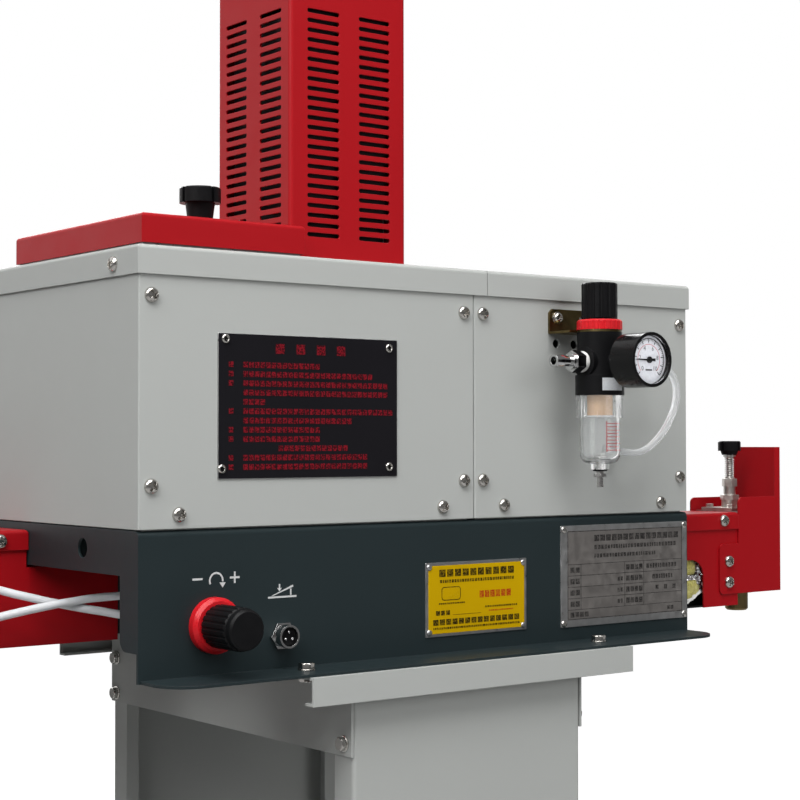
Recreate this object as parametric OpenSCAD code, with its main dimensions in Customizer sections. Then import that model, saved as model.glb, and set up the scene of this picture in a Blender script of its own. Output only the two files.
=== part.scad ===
// Hot melt glue unit on a folded sheet stand.
// Millimetres, +Z up. The origin lies on the floor under the middle of the outline.
// Inside unit() the coordinates start at the cabinet's lower left corner on the service face:
// x runs right along that face, y runs back through the cabinet, z runs up from the base.

/* [Cabinet] */
// Width of the two cabinets together
cab_w = 530; // [500:1:560]
// Depth of the cabinets
cab_d = 290; // [270:1:330]
// Height from the base to the top of the cabinet lids
cab_h = 193; // [180:1:220]
// Width of the tank cabinet, up to the joint between the front panels
tank_cab_w = 293; // [285:1:305]
// How far the tank cabinet's lid laps over that joint
lid_lap = 12.5; // [5:0.5:18]
// Height of the lips on the cabinet lids
lid_lip = 20; // [15:1:28]
// Thickness of the painted cabinet sheet
sheet_t = 1.5; // [1:0.1:2]
// Outer radius of the cabinet bends
bend_r = 3; // [2.5:0.5:5]
// Gap between painted sheets that fit over each other
sheet_gap = 0.3; // [0.2:0.05:0.5]
// Width of the joint line between neighbouring panels
joint_gap = 0.6; // [0.4:0.1:1]

/* [Base] */
// Height of the dark base tray
base_h = 102; // [95:1:115]
// Thickness of the base sheet
base_t = 2; // [1.5:0.1:3]
// Outer radius of the base's top bends
base_bend_r = 4; // [3.5:0.5:6]
// Width of the base flanges
flange_w = 41.5; // [38:0.5:50]
// Plan radius of the flange corners
flange_corner_r = 25; // [10:1:30]
// Height of the strip across the base's open end
strip_h = 31; // [22:1:36]
// Width of the returns beside the open end
return_w = 25; // [20:0.5:32]
// Height of those returns
return_h = 82; // [70:1:90]
// Diameter of the hole in the strip
strip_hole_d = 14; // [8:0.5:18]
// Depth of that hole below the base's top
strip_hole_drop = 14.5; // [10:0.5:20]
// Place of that hole behind the base's front
strip_hole_y = 79.5; // [60:0.5:100]

/* [Stand] */
// Height from the floor to the underside of the base
stand_h = 700; // [600:5:800]
// Thickness of the stand's sheet
stand_t = 2; // [1.5:0.1:3]
// Width of the legs
leg_w = 219; // [200:1:240]
// Depth of the legs' side flanges
leg_depth = 23; // [18:1:30]
// Width of the lips on the legs' side flanges
leg_lip = 12; // [8:1:20]
// How far the leg stands in front of the cabinet
leg_out = 30.8; // [28:0.1:34]
// Length of the rails under the base
rail_l = 308; // [290:1:340]
// Height of the rails
rail_h = 20; // [15:1:25]
// How far the rail stands in front of the cabinet
rail_out = 45.3; // [43:0.1:52]
// Width of the rails' top flanges
rail_top = 30; // [25:1:36]
// Width of the rails' bottom lips
rail_lip = 10; // [6:1:12]
// Height of the end plates between the legs
end_plate_h = 59; // [45:1:80]
// Length of the foot tubes
foot_l = 500; // [480:5:600]
// Distance between the foot tubes' middles
foot_span = 340; // [280:5:400]
// Width of the foot tubes
foot_w = 60; // [50:1:70]
// Height of the foot tubes
foot_h = 40; // [30:1:50]
// Width of the cross beams
beam_w = 50; // [44:1:60]
// Height of the cross beams
beam_h = 40; // [30:1:50]
// Diameter of the rubber pads
pad_d = 44; // [36:1:50]
// Height of the rubber pads
pad_h = 10; // [8:1:16]

/* [Tank and lid] */
// Place of the tank lid's left edge
tank_lid_x = 3; // [2:0.5:6]
// Place of the tank lid's front edge
tank_lid_y = 1.5; // [1:0.5:5]
// Width of the tank lid
tank_lid_w = 133; // [125:1:133]
// Depth of the tank lid
tank_lid_d = 193; // [180:1:200]
// Height of the tank lid
tank_lid_h = 20.5; // [16:0.5:26]
// Gap under the tank lid's skirt
tank_lid_gap = 1.5; // [1:0.1:3]
// Thickness of the red sheet
red_t = 1.5; // [1:0.1:2]
// Wall of the glue tank
tank_wall = 6; // [4:0.5:8]
// Width of the tank's rim flange
tank_rim = 12; // [9:0.5:15]
// Height of the tank's underside above the base
tank_floor = 30; // [24:1:50]
// Diameter of the hinge barrels
hinge_barrel_d = 9; // [8:0.5:10]
// Diameter of the hinge pin
hinge_pin_d = 4; // [3:0.5:5]
// Diameter of the lid knob
lid_knob_d = 29.5; // [24:0.5:36]
// Height of the lid knob above the lid
lid_knob_h = 25; // [20:1:32]
// Place of the lid knob from the lid's open end
lid_knob_inset_x = 64.5; // [50:0.5:80]
// Place of the lid knob behind the lid's front
lid_knob_inset_y = 31.5; // [20:0.5:45]

/* [Motor tower] */
// Place of the tower's left wall
tower_x = 137.2; // [137:0.1:150]
// Place of the tower's front wall
tower_y = 22.3; // [15:0.1:40]
// Width of the tower
tower_w = 106.5; // [100:0.5:120]
// Depth of the tower
tower_d = 99.5; // [96:0.5:115]
// Height of the tower
tower_h = 212; // [190:1:240]
// Length of a slot
slot_l = 29; // [24:0.5:32]
// Width of a slot
slot_w = 3.3; // [2.5:0.1:4]
// Distance from slot to slot
slot_pitch = 7.2; // [6:0.1:9]
// Rows of slots
slot_rows = 24; // [10:1:26]
// Distance of a slot column from the wall's middle
slot_offset = 23.5; // [20:0.5:28]
// Height of the lowest slot above the tower's foot
slot_foot = 19.5; // [14:0.5:30]
// Diameter of the drive shaft
shaft_d = 12; // [10:0.5:14]

/* [Glue valve] */
// Place of the valve box's front wall
valve_y = 27; // [20:0.5:60]
// Length of the valve box
valve_box_l = 94.5; // [85:0.5:110]
// Depth of the valve box
valve_box_d = 50; // [46:1:70]
// Height of the valve box
valve_box_h = 83; // [75:1:92]
// Height of the lips on the valve and gun lids
small_lip = 15; // [10:1:22]
// Length of the shield beyond the valve box
shield_l = 56.5; // [52:0.5:60]
// Height of the shield's front above the base's top
shield_rise = 10; // [6:1:20]
// Height of the shield's end wall above the base's top
shield_end_rise = 55; // [40:1:64]
// Diameter of the valve spindle
spindle_d = 5; // [4:0.5:6]
// Outer diameter of the valve spring
spring_d = 9.4; // [9:0.1:12]
// Diameter of the spring wire
spring_wire = 0.9; // [0.7:0.1:1.2]
// Length of the valve spring
spring_l = 19.5; // [18:0.5:26]
// Diameter of the valve knob
valve_knob_d = 20.6; // [18:0.1:24]
// Height of the valve knob
valve_knob_h = 12.7; // [10:0.1:16]
// Diameter of the brass outlet
outlet_d = 20.6; // [16:0.1:24]

/* [Glue gun] */
// How far the gun arm reaches past the base's open end
arm_reach = 117.2; // [110:0.1:130]
// Place of the arm's front wall
arm_y = 166; // [160:1:180]
// Depth of the arm
arm_d = 60; // [54:1:70]
// Height of the arm
arm_h = 86.5; // [80:0.5:90]
// How far the arm's top lies under the base's top
arm_drop = 5; // [4:0.5:8]
// Diameter of the gun's air cylinder
gun_cylinder_d = 40; // [34:1:46]
// Diameter of the air tubes
tube_d = 6; // [5:0.5:8]

/* [Filter regulator] */
// Place of the filter's upright axis along the panel
frl_x = 392; // [385:1:410]
// Distance of that axis from the panel
frl_out = 36.6; // [34:0.1:45]
// Height of the air ports
frl_port_z = 122.5; // [119:0.5:132]
// Diameter of the filter's body
frl_d = 38.6; // [36:0.2:42]
// Diameter of the clear bowl below its collar
bowl_d = 31.7; // [30:0.1:34]
// Height of the clear bowl
bowl_h = 54; // [46:1:60]
// Wall of the clear bowl
bowl_wall = 2.2; // [1.8:0.1:3]
// Diameter of the pressure knob
frl_knob_d = 28.4; // [26:0.2:34]
// Height of the pressure knob
frl_knob_h = 28; // [24:1:36]
// Diameter of the gauge
gauge_d = 42.3; // [40:0.1:50]
// Depth of the gauge's case
gauge_depth = 25; // [20:1:30]
// Distance of the gauge's face from the panel
gauge_out = 94; // [90:1:104]

/* [Base fittings] */
// Place of the nozzle regulator along the base
reg_x = 58.6; // [50:0.2:75]
// Depth of the nozzle regulator below the base's top
reg_drop = 66; // [55:1:72]
// Diameter of the nozzle regulator's ring nut
reg_nut_d = 38.8; // [34:0.2:42]
// Diameter of the nozzle regulator's knob
reg_knob_d = 30; // [26:0.5:34]
// Length of that knob
reg_knob_l = 35; // [28:1:40]
// Place of the foot switch socket along the base
socket_x = 115.5; // [100:0.5:150]
// Depth of that socket below the base's top
socket_drop = 77; // [60:1:85]
// Diameter of the socket's shell
socket_d = 16.5; // [14:0.5:20]
// Place of the cable gland from the base's closed end
gland_inset = 60; // [40:1:90]
// Depth of the gland below the base's top
gland_drop = 55; // [40:1:70]

/* [Hidden] */
$fn = 48;

grey = [0.70, 0.71, 0.70];
slate = [0.16, 0.20, 0.21];
red = [0.72, 0.10, 0.13];
black = [0.08, 0.08, 0.09];
steel = [0.72, 0.73, 0.74];
brass = [0.72, 0.58, 0.30];

// Radial clearance of everything that turns or slides
run_gap = 0.05;
// Room beside parts that pass each other
pass_gap = 0.5;
// A cut runs this far past the face it opens
cut = 1;

// The outline runs from the gun arm's tip to the valve shield's end wall
over = sheet_gap + sheet_t;
right_reach = valve_box_l + shield_l;
left_reach = arm_reach + over;
origin_x = (cab_w + right_reach - left_reach) / 2;
floor_z = -(stand_h + base_h);
base_foot = -base_h;
lid_joint = tank_cab_w + lid_lap;
mid_x = cab_w / 2;
mid_y = cab_d / 2;

// Stand
leg_x = mid_x - leg_w / 2;
leg_top = base_foot - stand_t;
foot_z = floor_z + pad_h;
beam_z = foot_z + foot_h;
leg_foot = beam_z + beam_h;
leg_mid_y = leg_depth / 2 - leg_out;
pad_inset = 30;
tube_wall = 2.5;
end_lip = 14;

// Cabinet shells: width of the top returns, radius of the upright edges, and the shadow gap at the foot
shell_return = 12;
shell_edge_r = 1;
foot_gap = 1;
plinth_in = 4;

// Tank, its lid and the hinge
lid_seat = cab_h + tank_lid_gap;
lid_top = lid_seat + tank_lid_h;
rim_t = 3;
rim_x = tank_lid_x + red_t + pass_gap * 2;
rim_y = tank_lid_y + red_t + pass_gap * 2;
rim_w = tank_lid_w - 2 * (rim_x - tank_lid_x);
rim_d = tank_lid_d - 2 * (rim_y - tank_lid_y);
rim_top = cab_h + rim_t;
barrel_r = hinge_barrel_d / 2;
hinge_gap = 0.8;
hinge_y = tank_lid_y + tank_lid_d + barrel_r + hinge_gap;
hinge_z = lid_seat + barrel_r;
hinge_x = tank_lid_x + 22;
hinge_l = tank_lid_w - 44;
ear_l = 15;
leaf_l = 16;
lid_knob_x = tank_lid_x + lid_knob_inset_x;
lid_knob_y = tank_lid_y + lid_knob_inset_y;

// Tower and drive
tower_mid_x = tower_x + tower_w / 2;
tower_mid_y = tower_y + tower_d / 2;
gearbox_w = 84;
gearbox_h = 40;
motor_w = 90;
motor_h = 148;
coupling_d = 30;
pump_w = 80;
pump_top = tank_floor + 30;

// Knobs with four lobes: turn of their notches, and the notches' width and depth
notch_turn = 7;
notch_gap = 2.8;
notch_in = 2.4;
lid_knob_head = 11;
valve_knob_head = 9;

// Glue valve
valve_x = cab_w;
valve_top = -3.4;
valve_mid_y = valve_y + valve_box_d / 2;
shield_x = valve_x + valve_box_l;
shield_foot = -76;
shield_tab = 25;
shield_r = 5;
shield_tab_top = -31.5;
rear_tab = 4;
spindle_x = shield_x + 18;
block_w = 46;
block_top = -3;
block_foot = -70;
bonnet_top = 26;
bonnet_w = 36;
bonnet_bolt = 12.8;
spring_foot = bonnet_top + 0.3;
spring_top = spring_foot + spring_l;
washer_t = 1.4;
knob_foot = spring_top + 0.3 + washer_t + 0.3;
outlet_x = shield_x + 26.5;
outlet_foot = -94;
spring_turns = 12;
notch_x = 11;
notch_w = 39;
notch_top = -44;

// Glue gun
arm_top = -arm_drop;
arm_foot = arm_top - arm_h;
arm_in = 75;
gun_x = -85;
gun_y = arm_y + arm_d / 2;
gun_block_w = 44;
gun_tip = arm_foot - 34;

// Filter regulator
frl_y = -frl_out;
body_foot = 96.4;
body_collar_h = 16;
flange_z = 146;
bracket_t = 2;
bracket_w = 43;
bracket_h = 20;
neck_d = 28;
nut_d = 36;
nut_h = 8;
nut_z = flange_z + bracket_t;
frl_knob_z = nut_z + nut_h + 1;
bowl_foot = body_foot - bowl_h;
stem_d = 8;
bowl_collar_h = 18;
gauge_z = frl_port_z;
gauge_wall = 2.4;
pocket = 4.4;
dial_y = pocket - gauge_out;
pivot_d = 1.6;
waist_d = frl_d - 3;
port_d = 24;
port_l = waist_d / 2;

// Base fittings
reg_z = -reg_drop;
reg_neck_d = 22;
reg_nut_t = 8;
reg_stem_d = 10;
socket_z = -socket_drop;
socket_l = 10;
gland_x = cab_w - gland_inset;
gland_z = -gland_drop;
gland_d = 9;

// Instruments on the operator's side of the control cabinet
panel_y = cab_d;
bezel_w = 60;
bezel_pitch = 72;
bezel_z = 112;
row_z = 45;
rocker_r = 7.4;
rocker_tilt = 8;
dial_d = 30;

// Push-in fittings and the double solenoid valve behind the open end
fitting_d = 12;
fitting_l = 8;
elbow_l = 18;
elbow_d = 10;

// Routes of the tubes, as chosen points
route_open = [
  [60, 98, -51], [54, 98, -51], [48, 99.5, -51.5], [42, 103, -52], [33, 110, -53], [23, 115, -54],
  [13, 118, -55.5], [2, 121.5, -57], [-6, 127, -59], [-13, 133, -61], [-22, 139.5, -63.5],
  [-31, 145, -66], [-42, 148.5, -69], [-52, 150, -71], [-58, 150, -72], [-64, 150, -72]
];
route_close = [
  [60, 98, -66], [54, 98, -66], [48, 99.5, -66], [42, 103.5, -65.5], [33, 111, -63.5],
  [23, 117, -61.5], [14, 123, -59.5], [6, 129, -57.5], [-4, 132.5, -55], [-13, 136, -52.5],
  [-22, 140.5, -50], [-30, 145, -47.5], [-41, 148.5, -44], [-52, 150, -41], [-58, 150, -40],
  [-64, 150, -40]
];
route_frl = [
  [428, -36.6, 122.5], [434, -36.6, 122.5], [442, -36.6, 122.5], [451, -36.6, 122],
  [460, -36.6, 121], [468, -36.6, 118.5], [474, -36.6, 114], [477.7, -36.6, 107],
  [479, -36.6, 99.5], [478.1, -36.2, 92], [475.5, -35.8, 84], [471.1, -35, 75.5],
  [466, -34, 68], [459.6, -32, 60.6], [453, -29.5, 55], [446.5, -26, 51.5],
  [440.5, -21, 51], [437, -15.5, 51.8], [436, -11, 52], [436, -8, 52]
];
function last_of(route) = route[len(route) - 1];

// Shared shapes

module unit() {
  translate([-origin_x, -cab_d / 2, -floor_z]) children();
}

// Extrudes a (y, z) outline along +X
module along_x(l) {
  rotate([90, 0, 90]) linear_extrude(height = l) children();
}

// Extrudes an (x, z) outline along +Y
module along_y(l) {
  translate([0, l, 0]) rotate([90, 0, 0]) linear_extrude(height = l) children();
}

// A cylinder along +Y that starts at the origin
module rod_y(d, l) {
  rotate([-90, 0, 0]) cylinder(d = d, h = l);
}

// A cylinder along +X that starts at the origin
module rod_x(d, l) {
  rotate([0, 90, 0]) cylinder(d = d, h = l);
}

// A hexagonal prism along +Z, given across its flats
module hex(af, h) {
  cylinder(d = af / cos(30), h = h, $fn = 6);
}

module round_rect(w, h, r) {
  translate([r, 0]) square([w - 2 * r, h]);
  translate([0, r]) square([w, h - 2 * r]);
  for (x = [r, w - r], y = [r, h - r]) translate([x, y]) circle(r);
}

// A rectangle whose two far corners are round
module tab_plan(w, l, r) {
  square([w, l - r]);
  translate([r, 0]) square([w - 2 * r, l]);
  for (x = [r, w - r]) translate([x, l - r]) circle(r);
}

// A block whose four top edges are bent with radius r
module bent_block(w, d, h, r) {
  intersection() {
    along_x(w) tab_plan(d, h, r);
    along_y(d) tab_plan(w, h, r);
  }
}

// A folded lid, open below
module folded_lid(w, d, h, t, r) {
  difference() {
    bent_block(w, d, h, r);
    translate([t, t, -cut]) bent_block(w - 2 * t, d - 2 * t, h - t + cut, r - t);
  }
}

// A stadium-shaped slot outline around the origin
module stadium(l, w) {
  square([l - w, w], center = true);
  for (s = [-1, 1]) translate([s * (l - w) / 2, 0]) circle(d = w, $fn = 24);
}

// A straight knob with round flutes and an eased top edge, standing on z = 0
module fluted_knob(d, h, flutes, flute_d, edge) {
  difference() {
    union() {
      cylinder(d = d, h = h - edge);
      translate([0, 0, h - edge]) cylinder(d1 = d, d2 = d - 2 * edge, h = edge);
    }
    for (i = [0 : flutes - 1])
      rotate([0, 0, i * 360 / flutes]) translate([d / 2 + flute_d * 0.22, 0, -cut])
        cylinder(d = flute_d, h = h + 2 * cut, $fn = 24);
  }
}

// A knob of four broad lobes on a tapered hub, standing on z = 0
module lobed_knob(d, h, head_h, hub_low, hub_top) {
  edge = 1;
  hub_h = h - head_h;
  cylinder(d1 = hub_low, d2 = hub_top, h = hub_h);
  translate([0, 0, hub_h]) difference() {
    union() {
      cylinder(d = d, h = head_h - edge);
      translate([0, 0, head_h - edge]) cylinder(d1 = d, d2 = d - 2 * edge, h = edge);
    }
    for (i = [0 : 3])
      rotate([0, 0, notch_turn + 90 * i]) translate([d / 2 - notch_in, -notch_gap / 2, -cut])
        cube([d, notch_gap, head_h + 2 * cut]);
  }
}

// Sweeps a round tube along points, each ring carried on from the one before
function unit_of(v) = v / norm(v);
function tangent(p, i) = unit_of(p[min(i + 1, len(p) - 1)] - p[max(i - 1, 0)]);
function carry(n, t) = unit_of(n - (n * t) * t);
function normals(p, i, n) =
  i == len(p) ? [] : let (m = carry(n, tangent(p, i))) concat([m], normals(p, i + 1, m));
module swept_tube(p, d, sides, start) {
  n = normals(p, 0, start);
  rings = [for (i = [0 : len(p) - 1], k = [0 : sides - 1])
    let (t = tangent(p, i), b = cross(t, n[i]), a = 360 * k / sides)
      p[i] + d / 2 * (cos(a) * n[i] + sin(a) * b)];
  sides_faces = [for (i = [0 : len(p) - 2], k = [0 : sides - 1])
    let (k2 = (k + 1) % sides, a = i * sides, b = a + sides) [a + k, b + k, b + k2, a + k2]];
  last = (len(p) - 1) * sides;
  caps = [[for (k = [0 : sides - 1]) k], [for (k = [sides - 1 : -1 : 0]) last + k]];
  polyhedron(points = rings, faces = concat(sides_faces, caps));
}

// Stand

module feet() {
  color(grey) unit()
    for (s = [-1, 1])
      translate([mid_x + s * foot_span / 2 - foot_w / 2, mid_y - foot_l / 2, foot_z])
        difference() {
          cube([foot_w, foot_l, foot_h]);
          translate([tube_wall, tube_wall, tube_wall])
            cube([foot_w - 2 * tube_wall, foot_l - 2 * tube_wall, foot_h - 2 * tube_wall]);
        }
}

module foot_pads() {
  color(black) unit()
    for (x = [-1, 1], y = [-1, 1])
      translate([mid_x + x * foot_span / 2, mid_y + y * (foot_l / 2 - pad_inset), floor_z])
        cylinder(d1 = pad_d, d2 = pad_d - 6, h = pad_h);
}

module beams() {
  beam_l = foot_span + foot_w;
  color(grey) unit()
    for (y = [leg_mid_y, cab_d - leg_mid_y])
      translate([mid_x - beam_l / 2, y - beam_w / 2, beam_z])
        difference() {
          cube([beam_l, beam_w, beam_h]);
          translate([tube_wall, tube_wall, tube_wall])
            cube([beam_l - 2 * tube_wall, beam_w - 2 * tube_wall, beam_h - 2 * tube_wall]);
        }
}

// A lipped channel with its web at y = 0
module leg_section() {
  difference() {
    translate([0, leg_depth]) mirror([0, 1]) tab_plan(leg_w, leg_depth, stand_t * 1.5);
    translate([stand_t, stand_t]) square([leg_w - 2 * stand_t, leg_depth - 2 * stand_t]);
    translate([leg_lip, stand_t]) square([leg_w - 2 * leg_lip, leg_depth]);
  }
}

module leg() {
  translate([leg_x, -leg_out, leg_foot])
    linear_extrude(height = leg_top - leg_foot) leg_section();
}

module mirrored_to_rear() {
  translate([0, cab_d, 0]) mirror([0, 1, 0]) children();
}

module leg_front() {
  color(grey) unit() leg();
}

module leg_rear() {
  color(grey) unit() mirrored_to_rear() leg();
}

module end_plates() {
  plate_l = cab_d + 2 * leg_out;
  lip_l = plate_l - 2 * leg_depth - 2 * pass_gap;
  color(grey) unit()
    for (side = [0, 1])
      translate([mid_x, 0, leg_top - end_plate_h]) mirror([side, 0, 0]) {
        translate([-leg_w / 2 - stand_t, -leg_out, 0]) cube([stand_t, plate_l, end_plate_h]);
        translate([-leg_w / 2 - stand_t, -leg_out + leg_depth + pass_gap, 0])
          cube([end_lip + stand_t, lip_l, stand_t]);
      }
}

module rail() {
  translate([mid_x - rail_l / 2, -rail_out, base_foot - rail_h])
    along_x(rail_l) {
      square([stand_t, rail_h]);
      square([rail_lip, stand_t]);
      translate([0, rail_h - stand_t]) square([rail_top, stand_t]);
    }
}

module rails() {
  color(grey) unit() {
    rail();
    mirrored_to_rear() rail();
  }
}

// Base tray and cabinets

module base_outline() {
  translate([0, base_foot]) tab_plan(cab_d, base_h, base_bend_r);
}

module base_section() {
  difference() {
    base_outline();
    translate([base_t, base_foot - cut])
      tab_plan(cab_d - 2 * base_t, base_h - base_t + cut, base_bend_r - base_t);
  }
}

module base_flange() {
  translate([base_t, base_t, base_foot]) mirror([0, 1, 0])
    linear_extrude(height = base_t)
      tab_plan(cab_w - 2 * base_t, flange_w + base_t, flange_corner_r);
}

module open_end() {
  intersection() {
    base_outline();
    union() {
      translate([0, -strip_h]) square([cab_d, strip_h]);
      for (side = [0, 1])
        translate([side * cab_d, 0]) mirror([side, 0]) {
          translate([0, -return_h]) square([return_w / 2, return_h]);
          mirror([0, 1]) tab_plan(return_w, return_h, return_w / 3);
        }
    }
  }
}

module base_tray() {
  pipe_d = 40;
  color(slate) unit() difference() {
    union() {
      along_x(cab_w) base_section();
      base_flange();
      mirrored_to_rear() base_flange();
      along_x(base_t) open_end();
      translate([cab_w - base_t, 0, 0]) along_x(base_t) base_outline();
    }
    translate([reg_x, -cut, reg_z]) rod_y(reg_neck_d + 2 * pass_gap, base_t + 2 * cut);
    translate([socket_x, -cut, socket_z]) rod_y(socket_d - 4 + 2 * pass_gap, base_t + 2 * cut);
    translate([gland_x, cab_d - base_t - cut, gland_z]) rod_y(gland_d + 6, base_t + 2 * cut);
    translate([-cut, strip_hole_y, -strip_hole_drop]) rod_x(strip_hole_d, base_t + 2 * cut);
    translate([cab_w - base_t - cut, valve_mid_y, -45]) rod_x(pipe_d, base_t + 2 * cut);
  }
}

// Four walls over a set-back plinth, with a folded return at the top that the lid rests on
module cabinet_shell(w) {
  wall_top = cab_h - sheet_t;
  floor_top = foot_gap + sheet_t;
  difference() {
    intersection() {
      translate([0, 0, foot_gap]) linear_extrude(height = wall_top - foot_gap)
        round_rect(w, cab_d, shell_edge_r);
      bent_block(w, cab_d, wall_top, bend_r);
    }
    translate([sheet_t, sheet_t, floor_top])
      cube([w - 2 * sheet_t, cab_d - 2 * sheet_t, wall_top - sheet_t - floor_top]);
    translate([shell_return, shell_return, floor_top])
      cube([w - 2 * shell_return, cab_d - 2 * shell_return, cab_h]);
  }
  translate([plinth_in, plinth_in, 0]) cube([w - 2 * plinth_in, cab_d - 2 * plinth_in, floor_top]);
}

module tank_cabinet() {
  color(grey) unit() cabinet_shell(tank_cab_w - joint_gap / 2);
}

module control_cabinet() {
  spare_hole_d = 7;
  spare_hole_z = 138.5;
  color(grey) unit() difference() {
    translate([tank_cab_w + joint_gap / 2, 0, 0]) cabinet_shell(cab_w - tank_cab_w - joint_gap / 2);
    for (x = [frl_x - 12.7, frl_x + 6.5])
      translate([x, -cut, spare_hole_z]) rod_y(spare_hole_d, sheet_t + 2 * cut);
  }
}

// A lid over the cabinet, cut off straight at the joint
module cabinet_lid(x0, x1) {
  intersection() {
    translate([-over, -over, cab_h - lid_lip])
      folded_lid(cab_w + 2 * over, cab_d + 2 * over, lid_lip, sheet_t, bend_r);
    translate([x0, -2 * over, 0]) cube([x1 - x0, cab_d + 4 * over, 2 * cab_h]);
  }
}

module tank_cabinet_lid() {
  mouth_x = rim_x + tank_rim - 2 * pass_gap;
  mouth_y = rim_y + tank_rim - 2 * pass_gap;
  color(grey) unit() difference() {
    cabinet_lid(-2 * over, lid_joint - joint_gap / 2);
    translate([mouth_x, mouth_y, 0])
      cube([rim_w - 2 * (mouth_x - rim_x), rim_d - 2 * (mouth_y - rim_y), 2 * cab_h]);
    translate([tower_mid_x, tower_mid_y, 0]) cylinder(d = coupling_d + 10, h = 2 * cab_h);
  }
}

module control_cabinet_lid() {
  color(grey) unit() cabinet_lid(lid_joint + joint_gap / 2, cab_w + 2 * over);
}

// Tank, its lid and the hinge

module tank() {
  inner_x = rim_x + tank_rim + tank_wall;
  inner_y = rim_y + tank_rim + tank_wall;
  color(steel) unit() difference() {
    union() {
      translate([rim_x, rim_y, cab_h]) cube([rim_w, rim_d, rim_t]);
      translate([rim_x + tank_rim, rim_y + tank_rim, tank_floor])
        cube([rim_w - 2 * tank_rim, rim_d - 2 * tank_rim, rim_top - tank_floor]);
      translate([rim_x + tank_rim, tower_mid_y - pump_w / 2, tank_floor - 10])
        cube([tower_mid_x + pump_w / 2 - rim_x - tank_rim, pump_w, pump_top - tank_floor + 10]);
    }
    translate([inner_x, inner_y, pump_top + 2])
      cube([rim_w - 2 * (inner_x - rim_x), rim_d - 2 * (inner_y - rim_y), cab_h]);
    translate([tower_mid_x, tower_mid_y, tank_floor]) cylinder(r = shaft_d / 2 + run_gap, h = cab_h);
  }
}

module hinge_ear(x) {
  translate([x, hinge_y, hinge_z]) rod_x(hinge_barrel_d, ear_l);
  translate([x, tank_lid_y + tank_lid_d - red_t, hinge_z - 2])
    cube([ear_l, barrel_r + hinge_gap + red_t, 4]);
}

module tank_lid() {
  color(red) unit() difference() {
    union() {
      translate([tank_lid_x, tank_lid_y, lid_seat])
        folded_lid(tank_lid_w, tank_lid_d, tank_lid_h, red_t, bend_r);
      hinge_ear(hinge_x);
      hinge_ear(hinge_x + hinge_l - ear_l);
    }
    translate([hinge_x - cut, hinge_y, hinge_z]) rod_x(hinge_pin_d + 2 * run_gap, hinge_l + 2 * cut);
  }
}

module lid_knob() {
  color(black) unit() translate([lid_knob_x, lid_knob_y, lid_top])
    lobed_knob(lid_knob_d, lid_knob_h, lid_knob_head, 17.5, 21);
}

module lid_hinge() {
  barrel_x = hinge_x + ear_l + pass_gap;
  barrel_l = hinge_l - 2 * ear_l - 2 * pass_gap;
  color(steel) unit() {
    translate([barrel_x, hinge_y, hinge_z]) rod_x(hinge_barrel_d, barrel_l);
    translate([hinge_x - 1.5, hinge_y, hinge_z]) rod_x(hinge_pin_d, hinge_l + 3);
    translate([barrel_x, hinge_y, cab_h]) cube([barrel_l, barrel_r, hinge_z - cab_h]);
    translate([hinge_x, hinge_y + barrel_r - sheet_t, cab_h]) cube([hinge_l, leaf_l, sheet_t]);
  }
}

// Motor tower and drive

module slot_columns() {
  for (s = [-1, 1], i = [0 : slot_rows - 1])
    translate([s * slot_offset, slot_foot + i * slot_pitch]) stadium(slot_l, slot_w);
}

module motor_tower() {
  color(red) unit() translate([tower_x, tower_y, cab_h]) difference() {
    linear_extrude(height = tower_h) round_rect(tower_w, tower_d, bend_r);
    translate([red_t, red_t, -cut]) linear_extrude(height = tower_h - red_t + cut)
      round_rect(tower_w - 2 * red_t, tower_d - 2 * red_t, bend_r - red_t);
    translate([tower_w / 2, -cut, 0]) along_y(tower_d + 2 * cut) slot_columns();
    translate([-cut, tower_d / 2, 0]) along_x(tower_w + 2 * cut) slot_columns();
  }
}

module gear_motor() {
  corner_r = 8;
  cap_h = 12;
  shaft_room = gearbox_h - 10;
  color(black) unit() translate([tower_mid_x, tower_mid_y, cab_h]) difference() {
    union() {
      translate([-gearbox_w / 2, -gearbox_w / 2, 0])
        linear_extrude(height = gearbox_h) round_rect(gearbox_w, gearbox_w, corner_r);
      translate([-motor_w / 2, -motor_w / 2, gearbox_h])
        linear_extrude(height = motor_h) round_rect(motor_w, motor_w, corner_r);
      translate([0, 0, gearbox_h + motor_h]) cylinder(d1 = motor_w - 6, d2 = motor_w - 16, h = cap_h);
    }
    translate([0, 0, -cut]) cylinder(r = shaft_d / 2 + run_gap, h = shaft_room + cut);
  }
}

module drive_shaft() {
  coupling_h = 40;
  shaft_foot = tank_floor + 5;
  color(steel) unit() translate([tower_mid_x, tower_mid_y, 0]) {
    translate([0, 0, shaft_foot]) cylinder(d = shaft_d, h = cab_h + gearbox_h - 15 - shaft_foot);
    translate([0, 0, (pump_top + cab_h - coupling_h) / 2]) cylinder(d = coupling_d, h = coupling_h);
  }
}

// Glue valve at the closed end of the base

module valve_box() {
  wall_h = valve_box_h - red_t;
  pipe_d = 40;
  pipe_z = 38;
  color(red) unit() translate([valve_x, valve_y, valve_top - valve_box_h]) difference() {
    cube([valve_box_l, valve_box_d, wall_h]);
    translate([red_t, red_t, -cut])
      cube([valve_box_l - 2 * red_t, valve_box_d - 2 * red_t, wall_h + 2 * cut]);
    translate([notch_x, -cut, -cut]) along_y(red_t + 2 * cut)
      tab_plan(notch_w, notch_top - valve_top + valve_box_h + cut, notch_w * 0.4);
    translate([-cut, valve_box_d / 2, pipe_z]) rod_x(pipe_d, red_t + 2 * cut);
  }
}

module valve_lid() {
  color(red) unit() translate([valve_x, valve_y - over, valve_top - small_lip]) difference() {
    bent_block(valve_box_l - sheet_gap, valve_box_d + 2 * over, small_lip, bend_r);
    translate([-cut, red_t, -cut])
      cube([valve_box_l + 2 * cut, valve_box_d + 2 * sheet_gap, small_lip - red_t + cut]);
  }
}

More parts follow.
